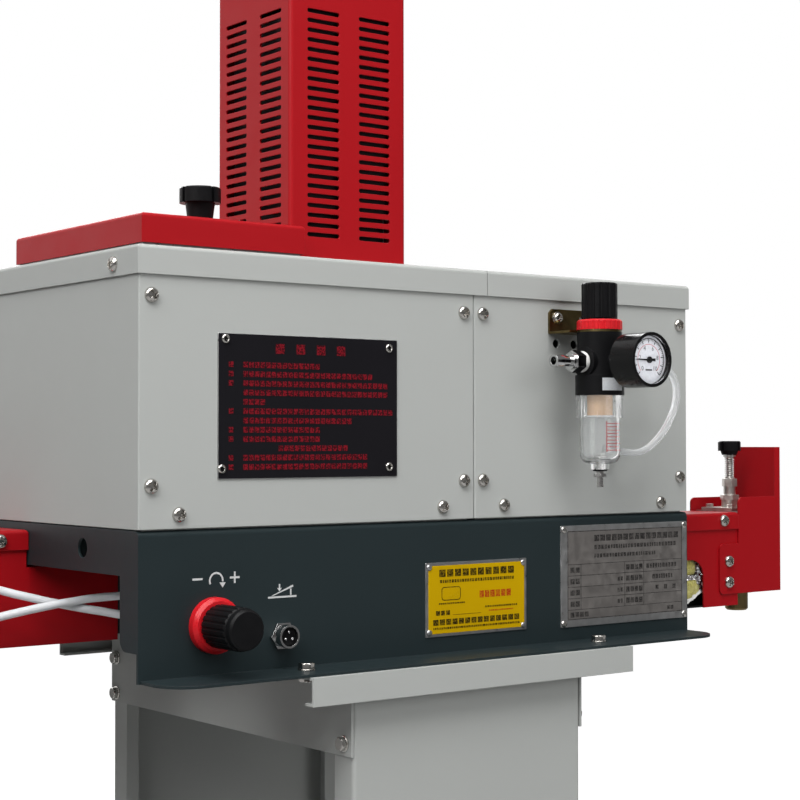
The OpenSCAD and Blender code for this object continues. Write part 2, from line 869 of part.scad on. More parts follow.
module valve_shield() {
  front_y = valve_y - red_t;
  rear_y = valve_y + valve_box_d + over + sheet_gap;
  front_h = shield_rise - shield_foot;
  rear_h = front_h - red_t;
  end_h = shield_end_rise - shield_foot;
  end_fold = 7;
  tab_h = shield_tab_top - shield_foot;
  color(red) unit() translate([shield_x, 0, shield_foot]) {
    // Front wall, its round upper corner and the tab that is screwed to the valve box
    translate([0, front_y, 0]) along_y(red_t) {
      tab_plan(shield_l, front_h, shield_r);
      translate([shield_l / 2, 0]) square([shield_l / 2, front_h]);
      translate([shield_l - end_fold, 0]) square([end_fold, end_h]);
      translate([-shield_tab, 0]) round_rect(shield_tab + shield_l / 2, tab_h, shield_r);
    }
    translate([shield_l - red_t, front_y, 0]) cube([red_t, rear_y - front_y + red_t, end_h]);
    translate([-rear_tab, rear_y, 0]) along_y(red_t) {
      tab_plan(shield_l + rear_tab - bend_r, rear_h, shield_r);
      translate([shield_l / 2, 0]) square([shield_l / 2 + rear_tab, rear_h]);
    }
  }
}

module valve_block() {
  seat_z = -45;
  color(steel) unit() difference() {
    translate([shield_x, valve_y, block_foot]) cube([block_w, valve_box_d, block_top - block_foot]);
    translate([spindle_x, valve_mid_y, seat_z]) cylinder(r = spindle_d / 2 + run_gap, h = -seat_z);
  }
}

module valve_wool() {
  top_room = 12;
  color([0.85, 0.75, 0.35]) unit()
    translate([valve_x + red_t, valve_y + red_t, valve_top - valve_box_h])
      cube([valve_box_l - 2 * red_t, valve_box_d - 2 * red_t, valve_box_h - red_t - top_room]);
}

module valve_bonnet() {
  plate_t = 3;
  bolt_af = 6;
  bolt_h = 3;
  union_foot = 6.8;
  neck_foot = 11.2;
  nut_foot = 19;
  color(steel) unit() translate([spindle_x, valve_mid_y, 0]) difference() {
    union() {
      translate([-bonnet_w / 2, -bonnet_w / 2, block_top]) cube([bonnet_w, bonnet_w, plate_t]);
      for (x = [-1, 1], y = [-1, 1])
        translate([x * bonnet_bolt, y * bonnet_bolt, block_top + plate_t]) hex(bolt_af, bolt_h);
      translate([0, 0, block_top + plate_t]) cylinder(d = 15, h = union_foot - block_top - plate_t);
      translate([0, 0, union_foot]) hex(15, neck_foot - union_foot);
      translate([0, 0, neck_foot]) cylinder(d = 11, h = nut_foot - neck_foot);
      translate([0, 0, nut_foot]) hex(12, bonnet_top - nut_foot);
    }
    translate([0, 0, block_top - cut])
      cylinder(r = spindle_d / 2 + run_gap, h = bonnet_top - block_top + 2 * cut);
  }
}

module valve_spindle() {
  spindle_foot = -40;
  color(steel) unit() translate([spindle_x, valve_mid_y, spindle_foot])
    cylinder(d = spindle_d, h = knob_foot + valve_knob_h / 2 - spindle_foot);
}

module valve_washer() {
  color(steel) unit() translate([spindle_x, valve_mid_y, spring_top + 0.3]) difference() {
    cylinder(d = spring_d + 2, h = washer_t);
    translate([0, 0, -cut]) cylinder(r = spindle_d / 2 + run_gap, h = washer_t + 2 * cut);
  }
}

module valve_knob() {
  color(black) unit() translate([spindle_x, valve_mid_y, knob_foot]) difference() {
    lobed_knob(valve_knob_d, valve_knob_h, valve_knob_head, 13.5, 16);
    translate([0, 0, -cut]) cylinder(r = spindle_d / 2 + run_gap, h = valve_knob_h / 2 + run_gap + cut);
  }
}

function coil_z(a, turns, l, wire) =
  let (dead = 0.9, live = turns - 2 * dead, u = min(max(a / 360 - dead, 0), live) / live)
    wire / 2 + u * (l - wire);

module valve_spring() {
  steps = 14;
  coil_r = (spring_d - spring_wire) / 2;
  route = [for (i = [0 : spring_turns * steps])
    let (a = i * 360 / steps)
      [coil_r * cos(a), coil_r * sin(a), coil_z(a, spring_turns, spring_l, spring_wire)]];
  color(steel) unit() translate([spindle_x, valve_mid_y, spring_foot])
    swept_tube(route, spring_wire, 6, [1, 0, 0]);
}

module valve_outlet() {
  collar_h = 8;
  edge = 1.5;
  color(brass) unit() translate([outlet_x, valve_mid_y, 0]) {
    translate([0, 0, block_foot - collar_h]) hex(outlet_d + 3.4, collar_h);
    translate([0, 0, outlet_foot + edge])
      cylinder(d = outlet_d, h = block_foot - collar_h - outlet_foot - edge);
    translate([0, 0, outlet_foot]) cylinder(d1 = outlet_d - 2 * edge, d2 = outlet_d, h = edge);
  }
}

// Glue gun at the open end of the base

module arm_box() {
  inside_top = -strip_h - 2;
  strip_room = 1.2;
  nozzle_hole = 22;
  color(red) unit() difference() {
    translate([-arm_reach, arm_y, arm_foot]) {
      cube([arm_reach + arm_in, arm_d, red_t]);
      cube([arm_reach + arm_in, red_t, arm_h - red_t]);
      translate([0, arm_d - red_t, 0]) cube([arm_reach + arm_in, red_t, arm_h - red_t]);
      cube([red_t, arm_d, arm_h - red_t]);
    }
    translate([-strip_room, arm_y - cut, inside_top]) cube([arm_in + 5, arm_d + 2 * cut, arm_h]);
    translate([gun_x, gun_y, arm_foot - cut]) cylinder(d = nozzle_hole, h = red_t + 2 * cut);
  }
}

module arm_lid() {
  color(red) unit() difference() {
    translate([-arm_reach - over, arm_y - over, arm_top - small_lip]) difference() {
      bent_block(arm_reach + over - 0.5, arm_d + 2 * over, small_lip, bend_r);
      translate([red_t, red_t, -cut])
        cube([arm_reach + over, arm_d + 2 * sheet_gap, small_lip - red_t + cut]);
    }
    translate([gun_x, gun_y, arm_top - 2 * red_t]) cylinder(d = gun_cylinder_d - 12, h = 4 * red_t);
  }
}

module gun_block() {
  color(steel) unit()
    translate([gun_x - gun_block_w / 2, arm_y + red_t, arm_foot + red_t])
      cube([gun_block_w, arm_d - 2 * red_t, arm_h - 2 * red_t]);
}

module gun_cylinder() {
  body_h = 42;
  nut_h = 6;
  port_h = 10;
  color(steel) unit() translate([gun_x, gun_y, arm_top - red_t]) {
    cylinder(d = gun_cylinder_d - 14, h = red_t);
    translate([0, 0, red_t]) cylinder(d = gun_cylinder_d, h = body_h);
    translate([0, 0, red_t + body_h]) hex(14, nut_h);
    translate([0, 0, red_t + body_h + nut_h]) cylinder(d = 9, h = port_h);
  }
}

module gun_nozzle() {
  collar_h = 12;
  hex_h = 10;
  color(brass) unit() translate([gun_x, gun_y, 0]) {
    translate([0, 0, arm_foot - collar_h]) cylinder(d = 20, h = collar_h + red_t);
    translate([0, 0, arm_foot - collar_h - hex_h]) hex(14, hex_h);
    translate([0, 0, gun_tip]) cylinder(d = 6, h = arm_foot - collar_h - hex_h - gun_tip);
  }
}

module solenoid_valve() {
  body = [45, 24, 42];
  coil = [33, 16, 18];
  body_x = route_open[0][0] + fitting_l;
  body_y = route_open[0][1] - body[1] / 2;
  body_foot_z = -80;
  bracket_l = 28;
  color(black) unit() translate([body_x, body_y, body_foot_z]) {
    cube(body);
    translate([(body[0] - coil[0]) / 2, (body[1] - coil[1]) / 2, body[2]]) cube(coil);
    translate([(body[0] - bracket_l) / 2, body[1], 0]) cube([bracket_l, base_t, -body_foot_z - base_t]);
  }
}

module push_fittings() {
  frl_end = last_of(route_frl);
  color(steel) unit() {
    for (start = [route_open[0], route_close[0]]) translate(start) rod_x(fitting_d, fitting_l);
    for (end = [last_of(route_open), last_of(route_close)]) translate(end) {
      translate([-elbow_l, 0, 0]) rod_x(fitting_d, elbow_l);
      translate([-fitting_d, 0, 0]) rod_y(elbow_d, arm_y - end[1]);
    }
    translate([frl_x + port_l, frl_y, frl_port_z])
      rod_x(fitting_d + 1, route_frl[0][0] - frl_x - port_l);
    translate(frl_end) rod_y(fitting_d, -frl_end[1]);
  }
}

module air_tube_open() {
  color("white") unit() swept_tube(route_open, tube_d, 10, [0, 0, 1]);
}

module air_tube_close() {
  color("white") unit() swept_tube(route_close, tube_d, 10, [0, 0, 1]);
}

module frl_tube() {
  color([0.85, 0.88, 0.88]) unit() swept_tube(route_frl, tube_d, 10, [0, 1, 0]);
}

// Filter regulator with its gauge

module frl_bracket() {
  corner = 3;
  hole_d = 5;
  hole_in = 8;
  ring_d = nut_d - 1;
  tongue = frl_out - ring_d / 3;
  color([0.75, 0.65, 0.25]) unit() difference() {
    union() {
      translate([frl_x - bracket_w / 2, -bracket_t, flange_z]) along_y(bracket_t)
        polygon([[0, 0], [bracket_w, 0], [bracket_w, bracket_h - corner], [bracket_w - corner, bracket_h],
          [corner, bracket_h], [0, bracket_h - corner]]);
      translate([frl_x - bracket_w / 2, -tongue, flange_z]) cube([bracket_w, tongue, bracket_t]);
      translate([frl_x, frl_y, flange_z]) cylinder(d = ring_d, h = bracket_t);
    }
    translate([frl_x, frl_y, flange_z - cut]) cylinder(d = neck_d + 2 * pass_gap, h = bracket_t + 2 * cut);
    for (side = [-1, 1])
      translate([frl_x + side * (bracket_w / 2 - hole_in), -bracket_t - cut, flange_z + 13])
        rod_y(hole_d, bracket_t + 2 * cut);
  }
}

module frl_body() {
  gauge_stub_d = 15;
  gauge_rear = gauge_depth - gauge_out + frl_out;
  color(black) unit() translate([frl_x, frl_y, 0]) {
    translate([0, 0, body_foot]) cylinder(d = frl_d, h = body_collar_h);
    translate([0, 0, body_foot + body_collar_h])
      cylinder(d = waist_d, h = flange_z - body_foot - body_collar_h);
    translate([0, 0, flange_z]) cylinder(d = neck_d, h = nut_h + bracket_t);
    translate([0, 0, flange_z]) cylinder(d = stem_d, h = frl_knob_z + frl_knob_h * 0.6 - flange_z);
    translate([-port_l, 0, frl_port_z]) rod_x(port_d, 2 * port_l);
    translate([0, gauge_rear, gauge_z]) rod_y(gauge_stub_d, -gauge_rear);
  }
}

module frl_nut() {
  thread_gap = 0.4;
  color(red) unit() translate([frl_x, frl_y, nut_z]) difference() {
    fluted_knob(nut_d, nut_h, 24, 2, 1.4);
    translate([0, 0, -cut]) cylinder(d = neck_d + thread_gap, h = nut_h + 2 * cut);
  }
}

module frl_knob() {
  color(black) unit() translate([frl_x, frl_y, frl_knob_z]) difference() {
    fluted_knob(frl_knob_d, frl_knob_h, 14, 3, 1);
    translate([0, 0, -cut]) cylinder(r = stem_d / 2 + run_gap, h = frl_knob_h * 0.65 + cut);
  }
}

module bowl_outline(d, h, foot_r) {
  translate([0, foot_r]) square([d / 2, h - foot_r]);
  square([d / 2 - foot_r, foot_r]);
  translate([d / 2 - foot_r, foot_r]) circle(foot_r);
}

module frl_bowl() {
  foot_r = 7.5;
  floor_t = bowl_wall + 1;
  drain_r = 3;
  boss_h = 4.4;
  collar_d = bowl_d + 4;
  rim_h = 4;
  ribs = 8;
  color([0.8, 0.85, 0.85, 0.4]) unit() translate([frl_x, frl_y, bowl_foot]) difference() {
    union() {
      rotate_extrude() intersection() {
        bowl_outline(bowl_d, bowl_h, foot_r);
        square([bowl_d, bowl_h]);
      }
      translate([0, 0, bowl_h - bowl_collar_h]) cylinder(d = collar_d, h = bowl_collar_h);
      translate([0, 0, bowl_h - rim_h]) cylinder(d = collar_d + 2, h = rim_h);
      for (i = [0 : ribs - 1])
        rotate([0, 0, i * 360 / ribs]) translate([0, -1.5, bowl_h - bowl_collar_h])
          cube([collar_d / 2 + 0.8, 3, bowl_collar_h - rim_h]);
      translate([0, 0, -boss_h]) cylinder(d = 14.5, h = boss_h + foot_r / 2);
    }
    rotate_extrude() intersection() {
      translate([0, floor_t]) bowl_outline(bowl_d - 2 * bowl_wall, bowl_h, foot_r - bowl_wall);
      square([bowl_d, bowl_h + cut]);
    }
    translate([0, 0, -boss_h - cut]) cylinder(r = drain_r + run_gap, h = bowl_h / 2);
  }
}

module frl_element() {
  element_h = 16;
  baffle_t = 1.2;
  color([0.9, 0.72, 0.55]) unit() translate([frl_x, frl_y, body_foot - element_h]) {
    cylinder(d = 20, h = element_h);
    translate([0, 0, -baffle_t]) cylinder(d = 25, h = baffle_t);
  }
}

module frl_drain() {
  boss_h = 4.4;
  travel_room = 3.4;
  seat_z = bowl_foot + bowl_wall + 1.3;
  nut_h = 2.5;
  barb_l = 8;
  nut_foot = bowl_foot - boss_h - travel_room - nut_h;
  color(steel) unit() translate([frl_x, frl_y, 0]) {
    translate([0, 0, nut_foot]) cylinder(d = 6, h = seat_z - nut_foot);
    translate([0, 0, seat_z]) cylinder(d = 10, h = 1.5);
    translate([0, 0, nut_foot]) hex(9, nut_h);
    translate([0, 0, nut_foot - barb_l]) cylinder(d = 5, h = barb_l);
  }
}

module frl_inlet() {
  thread_l = 4;
  hex_l = 8.5;
  collar_l = 2.5;
  neck_l = 8.6;
  tip_l = 8;
  bore_d = 6.4;
  bore_l = 14;
  neck_x = thread_l + hex_l + collar_l;
  tip_x = neck_x + neck_l;
  color(steel) unit() translate([frl_x - port_l, frl_y, frl_port_z]) mirror([1, 0, 0]) difference() {
    union() {
      rod_x(13, thread_l);
      translate([thread_l, 0, 0]) rotate([0, 90, 0]) hex(15.4, hex_l);
      translate([thread_l + hex_l, 0, 0]) rod_x(13, collar_l);
      translate([neck_x, 0, 0]) rod_x(8.6, neck_l);
      translate([tip_x, 0, 0]) rod_x(10.4, tip_l);
    }
    translate([tip_x + tip_l - bore_l, 0, 0]) rod_x(bore_d, bore_l + cut);
  }
}

module gauge_case() {
  pivot_l = 2.4;
  color(black) unit() translate([frl_x, 0, gauge_z]) {
    translate([0, -gauge_out, 0]) difference() {
      rod_y(gauge_d, gauge_depth);
      translate([0, -cut, 0]) rod_y(gauge_d - 2 * gauge_wall, pocket + cut);
    }
    translate([0, dial_y - pivot_l, 0]) rod_y(pivot_d, pivot_l);
  }
}

module gauge_pointer() {
  hub_d = 5;
  hub_t = 1.2;
  tip = 14.5;
  tail = 6;
  color(black) unit() translate([frl_x, dial_y - 2, gauge_z]) difference() {
    union() {
      rod_y(hub_d, hub_t);
      translate([0, hub_t / 6, 0]) along_y(hub_t / 2)
        polygon([[-tip, 0.3], [-tip, -0.3], [0, -0.8], [tail, -1.2], [tail, 1.2], [0, 0.8]]);
    }
    translate([0, -cut, 0]) rod_y(pivot_d + 2 * run_gap, 3 * cut);
  }
}

module gauge_lens() {
  lens_in = 0.6;
  lens_t = 1.2;
  lens_gap = 0.3;
  color([0.85, 0.9, 0.92, 0.3]) unit() translate([frl_x, lens_in - gauge_out, gauge_z])
    rod_y(gauge_d - 2 * gauge_wall - lens_gap, lens_t);
}

// Fittings on the base

module regulator_body() {
  housing_d = 34;
  housing_l = 46;
  stem_l = reg_knob_l * 0.6;
  color(steel) unit() translate([reg_x, 0, reg_z]) {
    translate([0, base_t, 0]) rod_y(housing_d, housing_l);
    translate([0, -reg_nut_t, 0]) rod_y(reg_neck_d, reg_nut_t + base_t);
    translate([0, -reg_nut_t - stem_l, 0]) rod_y(reg_stem_d, stem_l);
  }
}

module regulator_nut() {
  bevel = 2.5;
  thread_gap = 0.4;
  color(red) unit() translate([reg_x, 0, reg_z]) rotate([90, 0, 0]) difference() {
    union() {
      cylinder(d = reg_nut_d, h = reg_nut_t - bevel);
      translate([0, 0, reg_nut_t - bevel]) cylinder(d1 = reg_nut_d, d2 = reg_nut_d - 2 * bevel, h = bevel);
    }
    translate([0, 0, -cut]) cylinder(d = reg_neck_d + thread_gap, h = reg_nut_t + 2 * cut);
  }
}

module regulator_knob() {
  cap_l = 6;
  edge = 1.5;
  color(black) unit() translate([reg_x, -reg_nut_t - 1, reg_z]) rotate([90, 0, 0]) difference() {
    union() {
      fluted_knob(reg_knob_d, reg_knob_l - cap_l, 20, 2.4, 1);
      cylinder(d = reg_knob_d - 2.4, h = reg_knob_l - edge);
      translate([0, 0, reg_knob_l - edge])
        cylinder(d1 = reg_knob_d - 2.4, d2 = reg_knob_d - 2.4 - 2 * edge, h = edge);
    }
    translate([0, 0, -cut]) cylinder(r = reg_stem_d / 2 + run_gap, h = reg_knob_l * 0.65 + cut);
  }
}

module foot_socket() {
  wall = 1.4;
  color(steel) unit() translate([socket_x, 0, socket_z]) rotate([90, 0, 0]) difference() {
    union() {
      translate([0, 0, -base_t - 6]) cylinder(d = socket_d - 4, h = base_t + 6);
      hex(18, 2.4);
      cylinder(d = socket_d, h = socket_l);
    }
    translate([0, 0, 2]) cylinder(d = socket_d - 2 * wall, h = socket_l);
  }
}

module socket_insert() {
  wall = 1.4;
  color(black) unit() translate([socket_x, 0, socket_z]) rotate([90, 0, 0]) {
    translate([0, 0, 2]) cylinder(d = socket_d - 2 * wall - 0.2, h = 4);
    for (a = [90, 210, 330])
      rotate([0, 0, a]) translate([3.2, 0, 6]) cylinder(d = 1.8, h = 3);
  }
}

// Operator's side

module controller_bezel() {
  window = 44;
  difference() {
    along_y(6) translate([-bezel_w / 2, -bezel_w / 2]) round_rect(bezel_w, bezel_w, 3);
    translate([-window / 2, 4.5, -2]) cube([window, 3, 24]);
    for (i = [-1.5 : 1 : 1.5]) translate([i * 11, 4.8, -16]) rod_y(7, 3);
  }
}

module panel_instruments() {
  row_x = tank_cab_w + (cab_w - tank_cab_w) / 2;
  lamp_d = 14;
  color(black) unit() translate([row_x, panel_y, 0]) {
    for (i = [-1, 0, 1]) translate([i * bezel_pitch, 0, bezel_z]) controller_bezel();
    translate([-bezel_pitch, 0, row_z]) difference() {
      translate([-14, 0, -11]) cube([28, 3.5, 22]);
      translate([-11, -cut, -8]) cube([22, 3.5 + 2 * cut, 16]);
    }
    translate([0, 0, row_z]) rod_y(6, 12);
    for (x = [-12, 12]) translate([bezel_pitch + x, 0, row_z]) {
      rod_y(lamp_d, 3);
      translate([0, 3, 0]) rod_y(lamp_d - 4, 5);
    }
  }
}

module power_rocker() {
  row_x = tank_cab_w + (cab_w - tank_cab_w) / 2;
  color(red) unit() translate([row_x - bezel_pitch - 10.6, panel_y + 0.4, row_z])
    rotate([rocker_tilt, 0, 0]) along_x(21.2) intersection() {
      circle(rocker_r);
      polygon([[1.2, -8], [6.2, -8], [4.4, 0], [6.2, 8], [1.2, 8]]);
    }
}

module speed_dial() {
  row_x = tank_cab_w + (cab_w - tank_cab_w) / 2;
  color(black) unit() translate([row_x, panel_y + 0.4, row_z]) rotate([-90, 0, 0]) difference() {
    fluted_knob(dial_d, 17, 20, 2.4, 1.5);
    translate([0, 0, -cut]) cylinder(r = 3 + run_gap, h = 13.5 + cut);
  }
}

module cable_gland() {
  color(black) unit() translate([gland_x, cab_d, gland_z]) rotate([-90, 0, 0]) difference() {
    union() {
      hex(24, 7);
      translate([0, 0, 7]) cylinder(d = 20, h = 3);
      translate([0, 0, 10]) hex(22, 9);
      translate([0, 0, 19]) cylinder(d1 = 21, d2 = 14, h = 4);
    }
    translate([0, 0, -cut]) cylinder(d = gland_d, h = 30);
  }
}

feet();
foot_pads();
beams();
leg_front();
leg_rear();
end_plates();
rails();
base_tray();
tank_cabinet();
control_cabinet();
tank_cabinet_lid();
control_cabinet_lid();
tank();
tank_lid();
lid_knob();
lid_hinge();
motor_tower();
gear_motor();
drive_shaft();
valve_box();
valve_lid();
valve_shield();
valve_block();
valve_wool();
valve_bonnet();
valve_spindle();
valve_washer();
valve_knob();
valve_spring();
valve_outlet();
arm_box();
arm_lid();
gun_block();
gun_cylinder();
gun_nozzle();
solenoid_valve();
push_fittings();
air_tube_open();
air_tube_close();
frl_tube();
frl_bracket();
frl_body();
frl_nut();
frl_knob();
frl_bowl();
frl_element();
frl_drain();
frl_inlet();
gauge_case();
gauge_pointer();
gauge_lens();
regulator_body();
regulator_nut();
regulator_knob();
foot_socket();
socket_insert();
panel_instruments();
power_rocker();
speed_dial();
cable_gland();
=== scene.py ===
"""Looks of a hot melt glue unit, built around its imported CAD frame."""

import math
import random

import bpy
from mathutils import Matrix, Vector, noise


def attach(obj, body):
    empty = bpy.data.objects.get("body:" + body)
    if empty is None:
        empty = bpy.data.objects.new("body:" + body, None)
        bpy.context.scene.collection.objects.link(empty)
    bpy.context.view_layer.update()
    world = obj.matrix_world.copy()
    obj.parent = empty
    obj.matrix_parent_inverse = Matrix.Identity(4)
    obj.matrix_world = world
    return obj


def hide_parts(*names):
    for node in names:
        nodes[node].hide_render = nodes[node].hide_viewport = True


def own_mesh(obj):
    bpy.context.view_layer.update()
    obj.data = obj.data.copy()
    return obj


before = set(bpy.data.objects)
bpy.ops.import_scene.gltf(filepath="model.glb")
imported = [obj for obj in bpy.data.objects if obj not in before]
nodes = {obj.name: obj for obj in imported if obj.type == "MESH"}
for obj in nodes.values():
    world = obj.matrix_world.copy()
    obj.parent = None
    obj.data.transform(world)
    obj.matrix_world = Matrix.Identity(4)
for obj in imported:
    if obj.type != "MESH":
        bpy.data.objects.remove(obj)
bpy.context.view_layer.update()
draw = random.Random(7)

MM = 0.001
# The drawing starts at the cabinet's lower left corner, the part under the middle of its outline
SHIFT = Vector((-281.0, -145.0, 802.0))
CAB_D = 290.0


def at(x, y, z):
    """A point of the drawing, in millimetres, as a point of the part, in metres."""
    return (Vector((x, y, z)) + SHIFT) * MM


# Camera


def make_camera():
    yaw, pitch, roll = math.radians(37.666), math.radians(1.413), math.radians(-0.062)
    forward = Vector((math.sin(yaw) * math.cos(pitch), math.cos(yaw) * math.cos(pitch), math.sin(pitch)))
    right = Vector((math.cos(yaw), -math.sin(yaw), 0))
    up = right.cross(forward)
    right, up = right * math.cos(roll) + up * math.sin(roll), up * math.cos(roll) - right * math.sin(roll)
    data = bpy.data.cameras.new("photo_camera")
    data.lens = 78.47
    data.sensor_width = 36.0
    data.clip_end = 60.0
    camera = bpy.data.objects.new("photo_camera", data)
    bpy.context.scene.collection.objects.link(camera)
    turn = Matrix((right, up, -forward)).transposed().to_4x4()
    camera.matrix_world = Matrix.Translation((-0.85493, -1.17474, 0.86099)) @ turn
    bpy.context.scene.camera = camera


make_camera()

# Materials


class Look:
    """A node material that starts from one principled shader."""

    def __init__(self, name, **sockets):
        self.mat = bpy.data.materials.new(name)
        self.mat.use_nodes = True
        self.tree = self.mat.node_tree
        self.shader = self.tree.nodes["Principled BSDF"]
        for socket, value in sockets.items():
            self.shader.inputs[socket.replace("_", " ")].default_value = value
        self.place = self.node("ShaderNodeTexCoord").outputs["Object"]

    def node(self, kind, links=(), **values):
        made = self.tree.nodes.new(kind)
        for key, value in values.items():
            if key.startswith("in_"):
                made.inputs[key[3:].replace("_", " ")].default_value = value
            else:
                setattr(made, key, value)
        for socket, source in dict(links).items():
            self.tree.links.new(source, made.inputs[socket])
        return made

    def feed(self, socket, source):
        self.tree.links.new(source, self.shader.inputs[socket])

    def stretched(self, x, y, z):
        return self.node("ShaderNodeMapping", {"Vector": self.place}, in_Scale=(x, y, z)).outputs[0]

    def noise(self, scale, detail=3.0, place=None, rough=0.5):
        made = self.node("ShaderNodeTexNoise", {"Vector": place or self.place}, in_Scale=scale,
                         in_Detail=detail, in_Roughness=rough)
        return made.outputs["Fac"]

    def ramp(self, source, *stops):
        made = self.node("ShaderNodeValToRGB", {"Fac": source})
        ramp = made.color_ramp
        while len(ramp.elements) < len(stops):
            ramp.elements.new(0.5)
        for element, (place, color) in zip(ramp.elements, stops):
            element.position = place
            element.color = (*color, 1.0)
        return made.outputs["Color"]

    def span(self, source, low, high, from_low=0.3, from_high=0.7):
        made = self.node("ShaderNodeMapRange", {"Value": source})
        for key, value in (("From Min", from_low), ("From Max", from_high), ("To Min", low), ("To Max", high)):
            made.inputs[key].default_value = value
        return made.outputs["Result"]

    def bump(self, height, strength, distance, edge=0.0):
        links = {"Height": height}
        if edge:
            links["Normal"] = self.node("ShaderNodeBevel", in_Radius=edge, samples=4).outputs[0]
        made = self.node("ShaderNodeBump", links, in_Strength=strength, in_Distance=distance)
        self.feed("Normal", made.outputs[0])

    def worn(self, color, pale, radius):
        """Lightens the edges a little, where the rounded normal leaves the flat one."""
        flat = self.node("ShaderNodeNewGeometry").outputs["True Normal"]
        eased = self.node("ShaderNodeBevel", in_Radius=radius, samples=4).outputs[0]
        turn = self.node("ShaderNodeVectorMath", {0: flat, 1: eased}, operation="DOT_PRODUCT").outputs["Value"]
        both = self.node("ShaderNodeMath", {0: self.span(turn, 1, 0, 0.80, 0.97),
                                            1: self.span(self.noise(160, 5), 0, 1, 0.40, 0.70)},
                         operation="MULTIPLY").outputs[0]
        made = self.node("ShaderNodeMix", data_type="RGBA")
        self.tree.links.new(both, made.inputs["Factor"])
        self.tree.links.new(color, made.inputs[6])
        made.inputs[7].default_value = (*pale, 1.0)
        return made.outputs[2]


# How far the edges of paint, plastic and metal look eased, in metres
PAINT_EDGE, MOULD_EDGE, METAL_EDGE = 0.0006, 0.0004, 0.0003


def shade(color, factor):
    return tuple(min(1.0, c * factor) for c in color)


def mottled(look, source, color, vary, low=0.3, high=0.7):
    """A colour that goes a little darker and lighter over the surface."""
    return look.ramp(source, (low, shade(color, 1 - vary)), (high, shade(color, 1 + vary)))


def painted(name, color, rough, spec, peel, peel_scale, vary, worn=None):
    """Paint or powder coat on sheet metal, with orange peel and slightly uneven colour."""
    look = Look(name, Specular_IOR_Level=spec)
    tone = mottled(look, look.noise(9, 4), color, vary)
    if worn:
        tone = look.worn(tone, worn, PAINT_EDGE)
    look.feed("Base Color", tone)
    look.feed("Roughness", look.span(look.noise(60, 4), rough - 0.03, rough + 0.03))
    look.bump(look.noise(peel_scale, 2), peel, 0.0002, PAINT_EDGE)
    return look.mat


def moulded(name, color, rough, spec, grain=0.12, grain_scale=1800, vary=0.12):
    """Plastic or rubber with a fine grain."""
    look = Look(name, Specular_IOR_Level=spec)
    look.feed("Base Color", mottled(look, look.noise(70, 4), color, vary))
    look.feed("Roughness", look.span(look.noise(220, 4), rough - 0.08, rough + 0.08))
    look.bump(look.noise(grain_scale, 2), grain, 0.0001, MOULD_EDGE)
    return look.mat


def metal(name, color, rough, stretch, scale, lines=0.15, vary=0.12):
    """Bare or plated metal with fine drawn or turned lines."""
    look = Look(name, Metallic=1.0)
    drawn = look.noise(scale, 4, look.stretched(*stretch))
    smudge = look.noise(130, 4)
    look.feed("Base Color", mottled(look, smudge, color, vary, 0.25, 0.75))
    look.feed("Roughness", look.span(smudge, rough * 0.75, rough * 1.3))
    look.bump(drawn, lines, 0.0001, METAL_EDGE)
    return look.mat


def printed(name, color, rough=0.5):
    """Solid print or paper."""
    look = Look(name, Specular_IOR_Level=0.25)
    look.feed("Base Color", look.ramp(look.noise(900, 3), (0.3, shade(color, 0.86)), (0.6, color)))
    look.feed("Roughness", look.span(look.noise(500, 3), rough - 0.08, rough + 0.08))
    return look.mat


def stroked(name, ink, ground):
    """Fine print seen from afar: ink broken up by the ground it stands on."""
    look = Look(name, Specular_IOR_Level=0.08)
    strokes = look.noise(1100, 2)
    look.feed("Base Color", look.ramp(strokes, (0.40, ground), (0.56, ink)))
    look.feed("Roughness", look.span(strokes, 0.42, 0.56))
    return look.mat


def clear(name, color, rough, ior, through=1.0):
    """Clear plastic, slightly uneven."""
    look = Look(name, Transmission_Weight=through, IOR=ior)
    look.feed("Base Color", look.ramp(look.noise(60, 2), (0.3, shade(color, 0.97)), (0.7, color)))
    look.feed("Roughness", look.span(look.noise(300, 3), rough * 0.5, rough * 1.5))
    look.bump(look.noise(250, 2), 0.04, 0.0002)
    return look.mat


GREY = painted("grey_powder_coat", (0.412, 0.424, 0.410), 0.50, 0.25, 0.14, 900, 0.010, (0.50, 0.51, 0.50))
SLATE = painted("slate_powder_coat", (0.0140, 0.0226, 0.0250), 0.44, 0.28, 0.20, 700, 0.03, (0.040, 0.046, 0.048))
RED = painted("red_paint", (0.345, 0.0036, 0.0075), 0.40, 0.24, 0.12, 420, 0.015, (0.46, 0.03, 0.035))
MOTOR = painted("motor_paint", (0.010, 0.010, 0.011), 0.42, 0.2, 0.15, 800, 0.1)
BLACK = moulded("black_plastic", (0.0056, 0.0056, 0.0062), 0.40, 0.12)
GLOSS_BLACK = moulded("black_enamel", (0.0056, 0.0056, 0.0060), 0.22, 0.20, 0.03, 700)
RED_PLASTIC = moulded("red_plastic", (0.56, 0.010, 0.016), 0.34, 0.3)
RUBBER = moulded("black_rubber", (0.012, 0.012, 0.012), 0.72, 0.2, 0.3, 1200)
STEEL = metal("turned_steel", (0.50, 0.49, 0.48), 0.27, (10, 10, 400), 8)
SATIN_STEEL = metal("satin_steel", (0.68, 0.65, 0.61), 0.38, (10, 10, 300), 8, 0.12)
NICKEL = metal("nickel_screws", (0.56, 0.54, 0.51), 0.17, (30, 30, 30), 20, 0.06)
CHROME = metal("bright_plating", (0.62, 0.62, 0.62), 0.08, (20, 20, 20), 10, 0.03, 0.06)
ALUMINIUM = metal("machined_aluminium", (0.52, 0.52, 0.52), 0.34, (200, 12, 200), 6, 0.2)
PLATE_METAL = metal("brushed_plate", (0.46, 0.43, 0.41), 0.42, (6, 200, 500), 8, 0.16, 0.10)
BRASS = metal("brass", (0.26, 0.19, 0.085), 0.34, (10, 10, 300), 8, 0.15)
